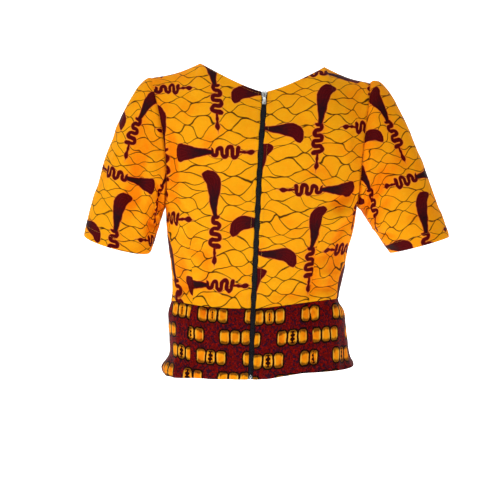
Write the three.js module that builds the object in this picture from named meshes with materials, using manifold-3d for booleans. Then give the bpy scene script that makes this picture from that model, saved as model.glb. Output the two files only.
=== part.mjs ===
// Short-sleeved wax-print top with a centre-back zip, hollow as when it is worn.
// Millimetres, +Z up. The back faces -Y and +X is to the right seen from behind.
// The origin lies midway between the two neck points.
import * as THREE from 'three';
import { mergeVertices } from 'three/addons/utils/BufferGeometryUtils.js';
import Module from 'manifold-3d';

// Cloth and seams
const wall = 1.5;
const seamGap = 0.3;
const halfSeam = seamGap / 2;
const fullness = 2.3; // exponent of the body's cross-section, 2 is an ellipse
const backFace = -1;
const frontFace = 1;

// Heights of the main lines, below the neck points
const yokeZ = -140;
const armpitZ = -250;
const waistCentreZ = -424;
const hemCentreZ = -543.5;

// Neck
const neckHalfWidth = 110;
const neckBackDepth = 72;
const neckFrontDepth = 78;
const neckBackZ = -49;
const neckFrontZ = -98;
const neckShare = 2 / 3; // share of a panel's columns that ends at the neckline
const backNeckPower = 1.3; // nearly straight sides that meet in a soft curve
const frontNeckPower = 1.2; // a round scoop
const shoulderSag = 4.5;

// The yoke's top edge leans forward and rises, as shares of the yoke's length.
const yokeProbe = 6;
const yokeLeanCentre = 0.42;
const yokeLeanShoulder = 1;
const yokeRiseCentre = 0.9;
const yokeRiseShoulder = 0.05;

// The left and right halves. The top hangs a little to the left, so they differ.
const sides = {
  left: {
    sign: -1,
    column: 'left',
    neckZ: 3,
    shoulderX: 195,
    shoulderZ: -21.5,
    armholeTopX: 170,
    armpitX: 172,
    armholeDip: 4,
    waistZ: -421,
    waistLift: 6,
    waistLiftPower: 2,
    hemZ: -550,
    hemStart: 0.2,
    hemEnd: 1,
  },
  right: {
    sign: 1,
    column: 'right',
    neckZ: -3,
    shoulderX: 190,
    shoulderZ: -31,
    armholeTopX: 176,
    armpitX: 168.5,
    armholeDip: 1,
    waistZ: -415,
    waistLift: 8.5,
    waistLiftPower: 1,
    hemZ: -534,
    hemStart: 0,
    hemEnd: 0.3,
  },
};

// Sections of the body, from the yoke to the hem: half-widths left and right of the
// origin, and the depths of the back and the front.
const bodyRows = [
  { z: -140, left: 172, right: 170, back: 106, front: 96 },
  { z: -250, left: 172, right: 168.5, back: 100, front: 112 },
  { z: -293, left: 170, right: 162, back: 93, front: 108 },
  { z: -328, left: 166.5, right: 153, back: 86, front: 101 },
  { z: -368, left: 162, right: 147, back: 79, front: 94 },
  { z: -398, left: 161, right: 140, back: 75, front: 89 },
  { z: -420, left: 163, right: 137.5, back: 74, front: 88 },
  { z: -436, left: 168, right: 147, back: 80, front: 95 },
  { z: -463, left: 168, right: 150.5, back: 89, front: 103 },
  { z: -491, left: 166.5, right: 154, back: 96, front: 108 },
  { z: -516, left: 167.5, right: 158, back: 101, front: 111 },
  { z: -536, left: 181, right: 166.5, back: 104, front: 113 },
  { z: -550, left: 179, right: 168, back: 105, front: 114 },
];

// The zip line drifts to the left on its way down.
const zipTopX = 3;
const zipDrift = 24.5;
const zipDriftPower = 0.85;
const zipTopZ = -47;
const zipFall = 513;
const zipLimit = 1.1; // share of the fall past which the line runs straight down

// Armhole
const armholeBackDepth = 60;
const armholeFrontDepth = 62;
const armholePower = 2.6;

// Soft rise of the front, shaped by its darts
const bustRise = 15;
const bustX = 78;
const bustZ = -245;
const bustWidth = 46;
const bustHeight = 62;

// Sleeves: the cuff ring, and how the cloth leaves the armhole and reaches the cuff,
// over the top of the arm and under it, as shares of the distance between them.
const sleeves = {
  left: {
    cuffCentre: [-260.5, 8, -317.8],
    cuffChord: [0.963, 0, -0.268],
    cuffHalfChord: 61.3,
    cuffHalfDepth: 54,
    cuffDip: 5,
    topStart: [0.49, -0.065],
    topEnd: [0.244, -0.88],
    underStart: [0.3, -0.5],
    underEnd: [0.45, -0.79],
  },
  right: {
    cuffCentre: [282.8, 8, -319.3],
    cuffChord: [-0.962, 0, -0.273],
    cuffHalfChord: 54.9,
    cuffHalfDepth: 58,
    cuffDip: -3,
    topStart: [0.4, 0.35],
    topEnd: [0.32, -0.77],
    underStart: [0.5, -0.5],
    underEnd: [0.55, -0.7],
  },
};
const sleeveSideFullness = 0.2;
const sleeveForward = 0.05;
const underArmRoom = 1.5; // seam gaps that the sleeve stands proud under the arm

// Folds of a sleeve: start and end as (share round the tube, share along it), with the
// width as a share of the way round and the rise in millimetres, negative for a trough.
const sleeveFolds = {
  left: [
    { around0: 0.3, along0: 0.2, around1: 0.24, along1: 0.72, width: 0.045, rise: -5 },
    { around0: 0.22, along0: 0.25, around1: 0.16, along1: 0.8, width: 0.045, rise: 4 },
    { around0: 0.08, along0: 0.1, around1: 0.12, along1: 0.75, width: 0.04, rise: -5 },
    { around0: 0.9, along0: 0.1, around1: 0.86, along1: 0.75, width: 0.045, rise: -5 },
    { around0: 0.74, along0: 0.25, around1: 0.78, along1: 0.8, width: 0.045, rise: 4 },
  ],
  right: [
    { around0: 0.04, along0: 0.15, around1: 0.27, along1: 0.42, width: 0.04, rise: -5 },
    { around0: 0.05, along0: 0.45, around1: 0.2, along1: 0.7, width: 0.04, rise: 5 },
    { around0: 0.1, along0: 0.1, around1: 0.33, along1: 0.2, width: 0.04, rise: 4 },
    { around0: 0.92, along0: 0.12, around1: 0.74, along1: 0.4, width: 0.045, rise: -5 },
    { around0: 0.93, along0: 0.4, around1: 0.82, along1: 0.72, width: 0.045, rise: 4 },
  ],
};

// Folds of the body seen from behind: the line of each fold, its width and its rise.
const bodyFolds = [
  { x0: -155, z0: -120, x1: -146, z1: -235, width: 14, rise: -5 },
  { x0: -138, z0: -150, x1: -128, z1: -300, width: 18, rise: 3 },
  { x0: 158, z0: -215, x1: 128, z1: -262, width: 14, rise: -4 },
  { x0: 138, z0: -300, x1: 118, z1: -400, width: 16, rise: -4 },
  { x0: -148, z0: -330, x1: -134, z1: -405, width: 15, rise: -3 },
  { x0: -99, z0: -318, x1: -99, z1: -416, width: 11, rise: -2.5 },
  { x0: 90, z0: -310, x1: 86, z1: -416, width: 11, rise: -2.5 },
];

// How the folds die out: at the ends of their lines and at the panels' edges, as shares.
const foldEnds = [0.12, 0.88];
const foldZipFade = [0.02, 0.15];
const foldSideFade = [0.9, 1];
const frontFoldShare = 0.6;
const sleeveFoldStretch = 0.6; // the sleeve's length against its girth
const sleeveTopFade = 0.12;
const cuffFadeStart = 0.85;
const cuffFadeShare = 0.5;

// Basque
const rippleHeight = 2.4;
const rippleLength = 52;
const rippleSway = 0.8;
const rippleSwayLength = 37;
const ripplePower = 1.6;
const basqueZipFade = 0.08;
const basqueSideFade = 0.92;
const tuckX = [-100, 82];
const tuckWidth = 9;
const tuckDepth = 3;
const tuckAtHem = 0.35; // share of its depth that a tuck keeps at the hem

// Mesh steps
const stepsBelowArmpit = 9;
const stepsArmhole = 7;
const stepsYoke = 7;
const stepsTorso = stepsBelowArmpit + stepsArmhole + stepsYoke;
const columnsBack = 12;
const columnsBasqueBack = 22;
const columnsBasqueFront = 22; // on each side of the centre front
const stepsBasque = 7;
const stepsSleeve = 16;

// Zip
const zipOpening = 4.2; // from the centre line to each panel's edge
const tapeWall = 1.0;
const tapeInset = 1.0; // the tape shows this much beside the panel's edge
const tapeHidden = 11; // and runs this far behind the panel
const chainHalfWidth = 2.9;
const chainWall = 2.0;
const chainSink = 0.4; // below the cloth's outer face
const chainTopRoom = 5.5; // from the neckline down to the chain's last tooth
const chainBottomRoom = 7.5;
const stopLength = 4;
const stopHalfWidth = 2.8;
const sliderDrop = 7; // slider's middle, below the neckline along the zip
const sliderHalfWidth = 4.9;
const sliderHalfLength = 5.8;
const sliderTopRound = 2.2;
const sliderTaper = 0.78; // the lower end's width against the upper end's
const sliderPlate = 1.2;
const sliderLift = 0.4; // plate clear of the cloth's outer face
const flangeInner = 3.25;
const flangeOuter = 3.9;
const flangeDepth = 1.3;
const innerPlateDepth = 3.1;
const postHalfWidth = 0.9;
const postLow = 2.1;
const postHigh = 5.4;
const bridgeHalfWidth = 1.0;
const bridgeHalfLength = 3.2;
const bridgeInnerHalfLength = 2.4;
const bridgeRoom = 2.2;
const bridgeBar = 0.8;
const pinRadius = 0.6;
const pinSides = 12;
const joinTolerance = 1e-4;
const pinZ = -1.4;
const pinLift = 1.1;
const armInner = 1.5;
const armOuter = 2.4;
const armHalfDepth = 0.5;
const tabTop = 5.2; // below the pin
const tabBottom = 19;
const tabHalfTop = 2.4;
const tabHalfBottom = 3.1;
const tabCorner = 1.4;

// Colours
const clothColor = 0xf5a417;
const basqueColor = 0x5e1118;
const tapeColor = 0x1c1c22;
const chainColor = 0x34363d;
const metalColor = 0xc9ccd0;

const mix = THREE.MathUtils.lerp;
const clamp = THREE.MathUtils.clamp;
const smooth = THREE.MathUtils.smoothstep;
const quarterTurn = Math.PI / 2;
const fullTurn = Math.PI * 2;

// Reads a column of the body table at a height, with smooth slopes between the rows.
function bodyValue(column, z) {
  const last = bodyRows.length - 1;
  let i = 1;
  while (i < last && z < bodyRows[i].z) {
    i += 1;
  }
  const above = bodyRows[i - 1];
  const below = bodyRows[i];
  const slope = (p, q) => (q[column] - p[column]) / (q.z - p.z);
  const span = below.z - above.z;
  const startSlope = i > 1 ? slope(bodyRows[i - 2], below) : slope(above, below);
  const endSlope = i < last ? slope(above, bodyRows[i + 1]) : slope(above, below);
  const t = clamp((z - above.z) / span, 0, 1);
  return hermite(above[column], startSlope * span, below[column], endSlope * span, t);
}

function hermite(start, startSlope, end, endSlope, t) {
  const t2 = t * t;
  const t3 = t2 * t;
  const fromStart = (2 * t3 - 3 * t2 + 1) * start + (t3 - 2 * t2 + t) * startSlope;
  return fromStart + (3 * t2 - 2 * t3) * end + (t3 - t2) * endSlope;
}

function hermitePoint(start, startSlope, end, endSlope, t) {
  return new THREE.Vector3(
    hermite(start.x, startSlope.x, end.x, endSlope.x, t),
    hermite(start.y, startSlope.y, end.y, endSlope.y, t),
    hermite(start.z, startSlope.z, end.z, endSlope.z, t),
  );
}

function zipX(z) {
  const share = clamp((zipTopZ - z) / zipFall, 0, zipLimit);
  return zipTopX - zipDrift * share ** zipDriftPower;
}

// The edge of the armhole at a height, or the side seam below it.
function edgePoint(side, face, z) {
  if (z <= armpitZ) {
    return { x: bodyValue(side.column, z), y: 0 };
  }
  const share = clamp((yokeZ - z) / (yokeZ - armpitZ), 0, 1);
  const depth = face === backFace ? armholeBackDepth : armholeFrontDepth;
  const dip = side.armholeDip * Math.sin(Math.PI * share);
  return {
    x: mix(side.armholeTopX, side.armpitX, share) - dip,
    y: depth * (1 - share ** armholePower) ** (1 / armholePower),
  };
}

// A point of the body below the yoke. across runs from the centre to the side.
function bodyPoint(side, face, across, z, start) {
  const edge = edgePoint(side, face, z);
  const centre = zipX(z);
  const reach = Math.abs(side.sign * edge.x - centre) - start;
  const depth = bodyValue(face === backFace ? 'back' : 'front', z);
  const edgeShare = (edge.y / depth) ** fullness;
  const halfWidth = reach / (1 - edgeShare) ** (1 / fullness);
  const lastAngle = Math.atan2((reach / halfWidth) ** (fullness / 2), edgeShare ** 0.5);
  const angle = across * lastAngle;
  const x = halfWidth * Math.sin(angle) ** (2 / fullness);
  const y = depth * Math.max(Math.cos(angle), 0) ** (2 / fullness);
  const point = new THREE.Vector3(centre + side.sign * (start + x), face * y, z);
  if (face === frontFace) {
    const besideX = (Math.abs(point.x - centre) - bustX) / bustWidth;
    const besideZ = (z - bustZ) / bustHeight;
    point.y += bustRise * Math.exp(-besideX * besideX - besideZ * besideZ);
  }
  return point;
}

// The top edge of a panel: the neckline, then the shoulder seam.
function topPoint(side, face, across, start) {
  const isBack = face === backFace;
  if (across <= neckShare) {
    const angle = (across / neckShare) * quarterTurn;
    const cosine = Math.max(Math.cos(angle), 0);
    const sine = Math.sin(angle);
    const lowest = isBack ? neckBackZ : neckFrontZ;
    const drop = isBack ? 1 - sine ** backNeckPower : cosine ** frontNeckPower;
    return new THREE.Vector3(
      zipTopX * cosine + side.sign * mix(start, neckHalfWidth, sine),
      face * cosine * (isBack ? neckBackDepth : neckFrontDepth),
      side.neckZ - (side.neckZ - lowest) * drop,
    );
  }
  const share = (across - neckShare) / (1 - neckShare);
  return new THREE.Vector3(
    side.sign * mix(neckHalfWidth, side.shoulderX, share),
    0,
    mix(side.neckZ, side.shoulderZ, share) - shoulderSag * Math.sin(Math.PI * share),
  );
}

// The yoke rises from the body and bends forward over the shoulder.
function yokePoint(side, face, across, share, start) {
  const low = bodyPoint(side, face, across, yokeZ, start);
  const lower = bodyPoint(side, face, across, yokeZ - yokeProbe, start);
  const high = topPoint(side, face, across, start);
  const length = low.distanceTo(high);
  const leave = low.clone().sub(lower).multiplyScalar(length / yokeProbe);
  const toShoulder = smooth(across, 0, neckShare);
  const lean = mix(yokeLeanCentre, yokeLeanShoulder, toShoulder);
  const lift = mix(yokeRiseCentre, yokeRiseShoulder, toShoulder);
  const arrive = new THREE.Vector3(0, -face * lean, lift);
  return hermitePoint(low, leave, high, arrive.multiplyScalar(length), share);
}

// Height of the waist seam, which rises a little between the zip and the side.
function waistZAt(side, across) {
  const lift = side.waistLift * Math.sin(Math.PI * across ** side.waistLiftPower);
  return mix(waistCentreZ, side.waistZ, across * across) + lift;
}

function torsoPoint(side, face, across, step, start) {
  let point;
  if (step <= stepsBelowArmpit) {
    const z = mix(waistZAt(side, across), armpitZ, step / stepsBelowArmpit);
    point = bodyPoint(side, face, across, z, start);
  } else if (step <= stepsBelowArmpit + stepsArmhole) {
    const angle = (1 - (step - stepsBelowArmpit) / stepsArmhole) * quarterTurn;
    const share = Math.sin(angle) ** (2 / armholePower);
    point = bodyPoint(side, face, across, mix(yokeZ, armpitZ, share), start);
  } else {
    const share = (step - stepsBelowArmpit - stepsArmhole) / stepsYoke;
    point = yokePoint(side, face, across, share, start);
  }
  point.y += face * halfSeam;
  return point;
}

function basquePoint(side, face, across, step, start) {
  const hemZ = mix(hemCentreZ, side.hemZ, smooth(across, side.hemStart, side.hemEnd));
  const share = step / stepsBasque; // 0 at the hem, 1 at the waist
  const z = mix(hemZ, waistZAt(side, across), share);
  const point = bodyPoint(side, face, across, z, start);
  point.y += face * halfSeam;
  point.z -= seamGap;
  return point;
}

// Distance from a point to a fold's line, and how far along the line it lies.
function foldShape(px, pz, fold) {
  const dx = fold.x1 - fold.x0;
  const dz = fold.z1 - fold.z0;
  const along = clamp(((px - fold.x0) * dx + (pz - fold.z0) * dz) / (dx * dx + dz * dz), 0, 1);
  const beside = Math.hypot(px - fold.x0 - along * dx, pz - fold.z0 - along * dz) / fold.width;
  return fold.rise * Math.exp(-beside * beside) * Math.sin(Math.PI * mix(...foldEnds, along));
}

function bodyFoldRise(point) {
  return bodyFolds.reduce((sum, fold) => sum + foldShape(point.x, point.z, fold), 0);
}

function sleeveFoldRise(folds, around, along) {
  const asLine = (fold) => ({
    x0: fold.around0,
    z0: fold.along0 * sleeveFoldStretch,
    x1: fold.around1,
    z1: fold.along1 * sleeveFoldStretch,
    width: fold.width,
    rise: fold.rise,
  });
  const height = along * sleeveFoldStretch;
  return folds.reduce((sum, fold) => sum + foldShape(around, height, asLine(fold)), 0);
}

function basqueRise(point, share) {
  const sway = rippleSway * Math.sin(point.x / rippleSwayLength);
  const wave = Math.sin((point.x / rippleLength) * fullTurn + sway);
  const ripple = rippleHeight * (1 - share) ** ripplePower * wave;
  const depth = tuckDepth * mix(tuckAtHem, 1, share);
  const tuck = (x) => depth * Math.exp(-(((point.x - x) / tuckWidth) ** 2));
  return ripple - tuck(tuckX[0]) - tuck(tuckX[1]);
}

// Normals of a grid of points. sign turns them outwards, closed joins the last column
// to the first.
function gridNormals(grid, sign, closed) {
  const lastRow = grid.length - 1;
  const lastColumn = grid[0].length - 1;
  return grid.map((row, i) => row.map((point, j) => {
    const right = closed ? row[(j + 1) % row.length] : row[Math.min(j + 1, lastColumn)];
    const left = closed ? row[(j + lastColumn) % row.length] : row[Math.max(j - 1, 0)];
    const up = grid[Math.min(i + 1, lastRow)][j].clone().sub(grid[Math.max(i - 1, 0)][j]);
    return right.clone().sub(left).cross(up).normalize().multiplyScalar(sign);
  }));
}

function shiftGrid(grid, normals, amount) {
  return grid.map((row, i) => row.map((point, j) => (
    point.clone().addScaledVector(normals[i][j], amount(point, i, j))
  )));
}

// A wall between an outer and an inner grid, closed along every free edge.
function wallGeometry(outer, inner, sign, closed) {
  const rows = outer.length;
  const columns = outer[0].length;
  const points = [...outer.flat(), ...inner.flat()];
  const positions = points.flatMap((point) => [point.x, point.y, point.z]);
  const innerStart = rows * columns;
  const index = [];
  const quad = (a, b, c, d) => {
    index.push(...(sign > 0 ? [a, b, c, a, c, d] : [a, c, b, a, d, c]));
  };
  const at = (i, j) => i * columns + (j % columns);
  const lastColumn = closed ? columns : columns - 1;
  for (let i = 0; i < rows - 1; i += 1) {
    for (let j = 0; j < lastColumn; j += 1) {
      const corners = [at(i, j), at(i, j + 1), at(i + 1, j + 1), at(i + 1, j)];
      quad(...corners);
      const [a, b, c, d] = corners.map((corner) => corner + innerStart);
      quad(d, c, b, a);
    }
  }
  for (let j = 0; j < lastColumn; j += 1) {
    const low = [at(0, j), at(0, j + 1)];
    const high = [at(rows - 1, j), at(rows - 1, j + 1)];
    quad(low[1], low[0], low[0] + innerStart, low[1] + innerStart);
    quad(high[0], high[1], high[1] + innerStart, high[0] + innerStart);
  }
  if (!closed) {
    for (let i = 0; i < rows - 1; i += 1) {
      const first = [at(i, 0), at(i + 1, 0)];
      const final = [at(i, columns - 1), at(i + 1, columns - 1)];
      quad(first[0], first[1], first[1] + innerStart, first[0] + innerStart);
      quad(final[1], final[0], final[0] + innerStart, final[1] + innerStart);
    }
  }
  const geometry = new THREE.BufferGeometry();
  geometry.setAttribute('position', new THREE.Float32BufferAttribute(positions, 3));
  geometry.setIndex(index);
  geometry.computeVertexNormals();
  return geometry;
}

function clothMaterial(color, roughness) {
  return new THREE.MeshStandardMaterial({ color, roughness, metalness: 0, side: THREE.DoubleSide });
}

function metalMaterial(color) {
  return new THREE.MeshStandardMaterial({ color, roughness: 0.3, metalness: 1 });
}

function namedMesh(name, geometry, material) {
  const mesh = new THREE.Mesh(geometry, material);
  mesh.name = name;
  return mesh;
}

// Columns of a panel: which half they are on and how far across.
function backColumns(side, count) {
  return Array.from({ length: count + 1 }, (unused, j) => ({ side, across: j / count }));
}

function frontColumns(count) {
  return Array.from({ length: count * 2 + 1 }, (unused, j) => ({
    side: j < count ? sides.left : sides.right,
    across: Math.abs(j - count) / count,
  }));
}

// A panel of the body with its normals straightened along the seams, so that the
// walls of neighbours meet squarely.
function makePanel({ columns, face, steps, pointAt, rise, start, sign }) {
  const base = Array.from({ length: steps + 1 }, (unused, i) => (
    columns.map(({ side, across }) => pointAt(side, face, across, i, start))
  ));
  const outer = shiftGrid(base, gridNormals(base, sign, false), rise);
  const normals = gridNormals(outer, sign, false);
  const isYokeTop = (i) => pointAt === torsoPoint && i === steps;
  const isSideSeam = (i) => pointAt === basquePoint || i <= stepsBelowArmpit;
  normals.forEach((row, i) => row.forEach((normal, j) => {
    const { across } = columns[j];
    const onShoulder = isYokeTop(i) && across >= neckShare - 1e-6;
    const onSide = across === 1 && isSideSeam(i);
    if (onShoulder || onSide) {
      normal.y = 0;
    }
    if (across === 0 && face === backFace) {
      normal.x = 0;
    }
    normal.normalize();
  }));
  const inner = shiftGrid(outer, normals, () => -wall);
  return { outer, inner, normals, sign };
}

// Folds die out towards the zip, the side seams and the waist.
function torsoRise(columns, face) {
  return (point, i, j) => {
    const { across } = columns[j];
    const edges = smooth(across, ...foldZipFade) * (1 - smooth(across, ...foldSideFade));
    const share = face === backFace ? 1 : frontFoldShare;
    return share * edges * smooth(i, 0, 1) * bodyFoldRise(point);
  };
}

function basqueRiseAt(columns) {
  return (point, i, j) => {
    const { across } = columns[j];
    const share = i / stepsBasque;
    const fade = smooth(across, 0, basqueZipFade) * (1 - smooth(across, basqueSideFade, 1));
    return fade * basqueRise(point, share);
  };
}

function makeBack(side) {
  const columns = backColumns(side, columnsBack);
  return makePanel({
    columns,
    face: backFace,
    steps: stepsTorso,
    pointAt: torsoPoint,
    rise: torsoRise(columns, backFace),
    start: zipOpening,
    sign: side.sign,
  });
}

function makeFront() {
  const columns = frontColumns(columnsBack);
  return makePanel({
    columns,
    face: frontFace,
    steps: stepsTorso,
    pointAt: torsoPoint,
    rise: torsoRise(columns, frontFace),
    start: 0,
    sign: -1,
  });
}

function makeBasqueBack(side) {
  const columns = backColumns(side, columnsBasqueBack);
  return makePanel({
    columns,
    face: backFace,
    steps: stepsBasque,
    pointAt: basquePoint,
    rise: basqueRiseAt(columns),
    start: zipOpening,
    sign: side.sign,
  });
}

function makeBasqueFront() {
  const columns = frontColumns(columnsBasqueFront);
  return makePanel({
    columns,
    face: frontFace,
    steps: stepsBasque,
    pointAt: basquePoint,
    rise: basqueRiseAt(columns),
    start: 0,
    sign: -1,
  });
}

// The armhole's loop of edge points, from the armpit up the back edge, over the
// shoulder and down the front edge.
function armholeLoop(side, back, front) {
  const frontColumn = side.sign < 0 ? 0 : columnsBack * 2;
  const loop = [];
  for (let i = stepsBelowArmpit; i <= stepsTorso; i += 1) {
    loop.push({ point: back.outer[i][columnsBack], normal: back.normals[i][columnsBack] });
  }
  for (let i = stepsTorso - 1; i > stepsBelowArmpit; i -= 1) {
    loop.push({ point: front.outer[i][frontColumn], normal: front.normals[i][frontColumn] });
  }
  const meetFront = (entry, i) => {
    const other = front.outer[i][frontColumn];
    return { point: entry.point.clone().lerp(other, 0.5), normal: entry.normal };
  };
  const top = stepsTorso - stepsBelowArmpit;
  loop[0] = meetFront(loop[0], stepsBelowArmpit);
  loop[top] = meetFront(loop[top], stepsTorso);
  return { loop, top };
}

// How far round the tube each point of the loop lies: 0 under the arm, 0.5 on top.
function loopShares(loop, top) {
  const lengths = loop.map((entry, k) => (
    entry.point.distanceTo(loop[(k + 1) % loop.length].point)
  ));
  const sum = (from, to) => lengths.slice(from, to).reduce((total, value) => total + value, 0);
  const backLength = sum(0, top);
  const frontLength = sum(top, loop.length);
  return loop.map((entry, k) => (
    k <= top ? (0.5 * sum(0, k)) / backLength : 0.5 + (0.5 * sum(top, k)) / frontLength
  ));
}

function cuffPoint(sleeve, share) {
  const angle = share * fullTurn;
  const chord = new THREE.Vector3(...sleeve.cuffChord);
  const point = new THREE.Vector3(...sleeve.cuffCentre);
  point.addScaledVector(chord, sleeve.cuffHalfChord * Math.cos(angle));
  point.y -= sleeve.cuffHalfDepth * Math.sin(angle);
  point.z -= sleeve.cuffDip * Math.sin(angle);
  return point;
}

function sleeveDirection(side, under, top, share, y) {
  const overTop = (1 - Math.cos(share * fullTurn)) / 2;
  return new THREE.Vector3(
    side.sign * mix(under[0], top[0], overTop),
    y,
    mix(under[1], top[1], overTop),
  );
}

// A set-in sleeve: a tube from the armhole to the cuff.
function makeSleeve(side, back, front) {
  const sleeve = sleeves[side.column];
  const { loop, top } = armholeLoop(side, back, front);
  const shares = loopShares(loop, top);
  const count = loop.length;
  const away = loop.map((entry, k) => {
    const next = loop[(k + 1) % count].point;
    const tangent = next.clone().sub(loop[(k + count - 1) % count].point);
    return entry.normal.clone().cross(tangent).normalize().multiplyScalar(-side.sign);
  });
  const columns = loop.map((entry, k) => {
    const share = shares[k];
    const start = entry.point.clone().addScaledVector(away[k], seamGap);
    const underArm = Math.max(0, Math.cos(share * fullTurn));
    start.addScaledVector(entry.normal, seamGap * underArmRoom * underArm);
    const end = cuffPoint(sleeve, share);
    const length = start.distanceTo(end);
    const sideways = -sleeveSideFullness * Math.sin(share * fullTurn);
    const leave = sleeveDirection(side, sleeve.underStart, sleeve.topStart, share, sideways);
    const arrive = sleeveDirection(side, sleeve.underEnd, sleeve.topEnd, share, sleeveForward);
    leave.multiplyScalar(length);
    arrive.multiplyScalar(length);
    return (along) => hermitePoint(start, leave, end, arrive, along);
  });
  const base = Array.from({ length: stepsSleeve + 1 }, (unused, i) => (
    columns.map((column) => column(i / stepsSleeve))
  ));
  const sign = -side.sign;
  const rise = (point, i, k) => {
    const along = i / stepsSleeve;
    const cuffFade = 1 - cuffFadeShare * smooth(along, cuffFadeStart, 1);
    const fade = smooth(along, 0, sleeveTopFade) * cuffFade;
    return fade * sleeveFoldRise(sleeveFolds[side.column], shares[k], along);
  };
  const outer = shiftGrid(base, gridNormals(base, sign, true), rise);
  const normals = gridNormals(outer, sign, true);
  normals[0].forEach((normal, k) => {
    const overBody = normal.dot(away[k]);
    if (overBody > 0) {
      normal.addScaledVector(away[k], -overBody).normalize();
    }
  });
  const inner = shiftGrid(outer, normals, () => -wall);
  return { outer, inner, sign };
}

// The zip's own line: points between the two panels' edges, from the hem to the neck.
function zipEdges(torso, basque) {
  const rows = [];
  for (let i = 0; i <= stepsBasque; i += 1) {
    rows.push({ panel: basque, i });
  }
  for (let i = 1; i <= stepsTorso; i += 1) {
    rows.push({ panel: torso, i });
  }
  return rows.map(({ panel, i }) => ({
    edge: panel.outer[i][0],
    next: panel.outer[i][1],
    normal: panel.normals[i][0],
  }));
}

// A tape lies behind the edge of its panel and shows a little beside it.
function makeTape(side, edges) {
  const outer = edges.map(({ edge, next, normal }) => {
    const across = next.clone().sub(edge).normalize();
    const seat = edge.clone().addScaledVector(normal, -(wall + seamGap));
    return [
      seat.clone().addScaledVector(across, -tapeInset),
      seat.clone().addScaledVector(across, tapeHidden),
    ];
  });
  const normals = edges.map(({ normal }) => [normal, normal]);
  const inner = shiftGrid(outer, normals, () => -tapeWall);
  return wallGeometry(outer, inner, side.sign, false);
}

function zipLine(leftEdges, rightEdges) {
  return leftEdges.map(({ edge, normal }, i) => ({
    point: edge.clone().lerp(rightEdges[i].edge, 0.5),
    normal: normal.clone().add(rightEdges[i].normal).normalize(),
  }));
}

// The point of the zip line at a distance from its top end.
function pointFromTop(line, distance) {
  let left = distance;
  for (let i = line.length - 1; i > 0; i -= 1) {
    const a = line[i];
    const b = line[i - 1];
    const length = a.point.distanceTo(b.point);
    if (left <= length || i === 1) {
      const share = left / length;
      return {
        point: a.point.clone().lerp(b.point, share),
        normal: a.normal.clone().lerp(b.normal, share).normalize(),
        tangent: a.point.clone().sub(b.point).normalize(),
        below: i - 1,
      };
    }
    left -= length;
  }
  return null;
}

function lineLength(line) {
  return line.slice(1).reduce((total, entry, i) => total + entry.point.distanceTo(line[i].point), 0);
}

// A bar that follows a stretch of the zip line.
function zipBar(line, fromTop, toTop, halfWidth, sink, thickness) {
  const start = pointFromTop(line, fromTop);
  const end = pointFromTop(line, toTop);
  const stretch = [end, ...line.slice(end.below + 1, start.below + 1), start];
  const outer = stretch.map(({ point, normal }) => [-halfWidth, halfWidth].map((x) => {
    const seat = point.clone().addScaledVector(normal, -sink);
    seat.x += x;
    return seat;
  }));
  const normals = stretch.map(({ normal }) => [normal, normal]);
  const inner = shiftGrid(outer, normals, () => -thickness);
  return wallGeometry(outer, inner, 1, false);
}

function roundedPlate(halfTop, halfBottom, high, low, corner) {
  const shape = new THREE.Shape();
  shape.moveTo(-halfBottom + corner, low);
  shape.lineTo(halfBottom - corner, low);
  shape.quadraticCurveTo(halfBottom, low, halfBottom, low + corner);
  shape.lineTo(halfTop, high - corner);
  shape.quadraticCurveTo(halfTop, high, halfTop - corner, high);
  shape.lineTo(-halfTop + corner, high);
  shape.quadraticCurveTo(-halfTop, high, -halfTop, high - corner);
  shape.lineTo(-halfBottom, low + corner);
  shape.quadraticCurveTo(-halfBottom, low, -halfBottom + corner, low);
  return shape;
}

// Extrudes a shape drawn in X and Z along Y, from yStart outwards to yEnd.
function plateGeometry(shape, yStart, yEnd) {
  const options = { depth: Math.abs(yEnd - yStart), bevelEnabled: false, curveSegments: 3 };
  const geometry = new THREE.ExtrudeGeometry(shape, options);
  geometry.rotateX(quarterTurn);
  geometry.translate(0, Math.max(yStart, yEnd), 0);
  return geometry;
}

function boxGeometry(x0, x1, y0, y1, z0, z1) {
  const geometry = new THREE.BoxGeometry(x1 - x0, y1 - y0, z1 - z0);
  geometry.translate((x0 + x1) / 2, (y0 + y1) / 2, (z0 + z1) / 2);
  return geometry;
}

// Joins geometries that overlap into one closed body.
function joined(wasm, geometries) {
  const solids = geometries.map((geometry) => {
    const bare = geometry.clone();
    bare.deleteAttribute('normal');
    bare.deleteAttribute('uv');
    const merged = mergeVertices(bare, joinTolerance);
    return new wasm.Manifold(new wasm.Mesh({
      numProp: 3,
      vertProperties: new Float32Array(merged.attributes.position.array),
      triVerts: new Uint32Array(merged.index.array),
    }));
  });
  const whole = solids.reduce((sum, solid) => sum.add(solid)).getMesh();
  const result = new THREE.BufferGeometry();
  result.setAttribute('position', new THREE.Float32BufferAttribute(whole.vertProperties, 3));
  result.setIndex(Array.from(whole.triVerts));
  result.computeVertexNormals();
  return result;
}

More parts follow.
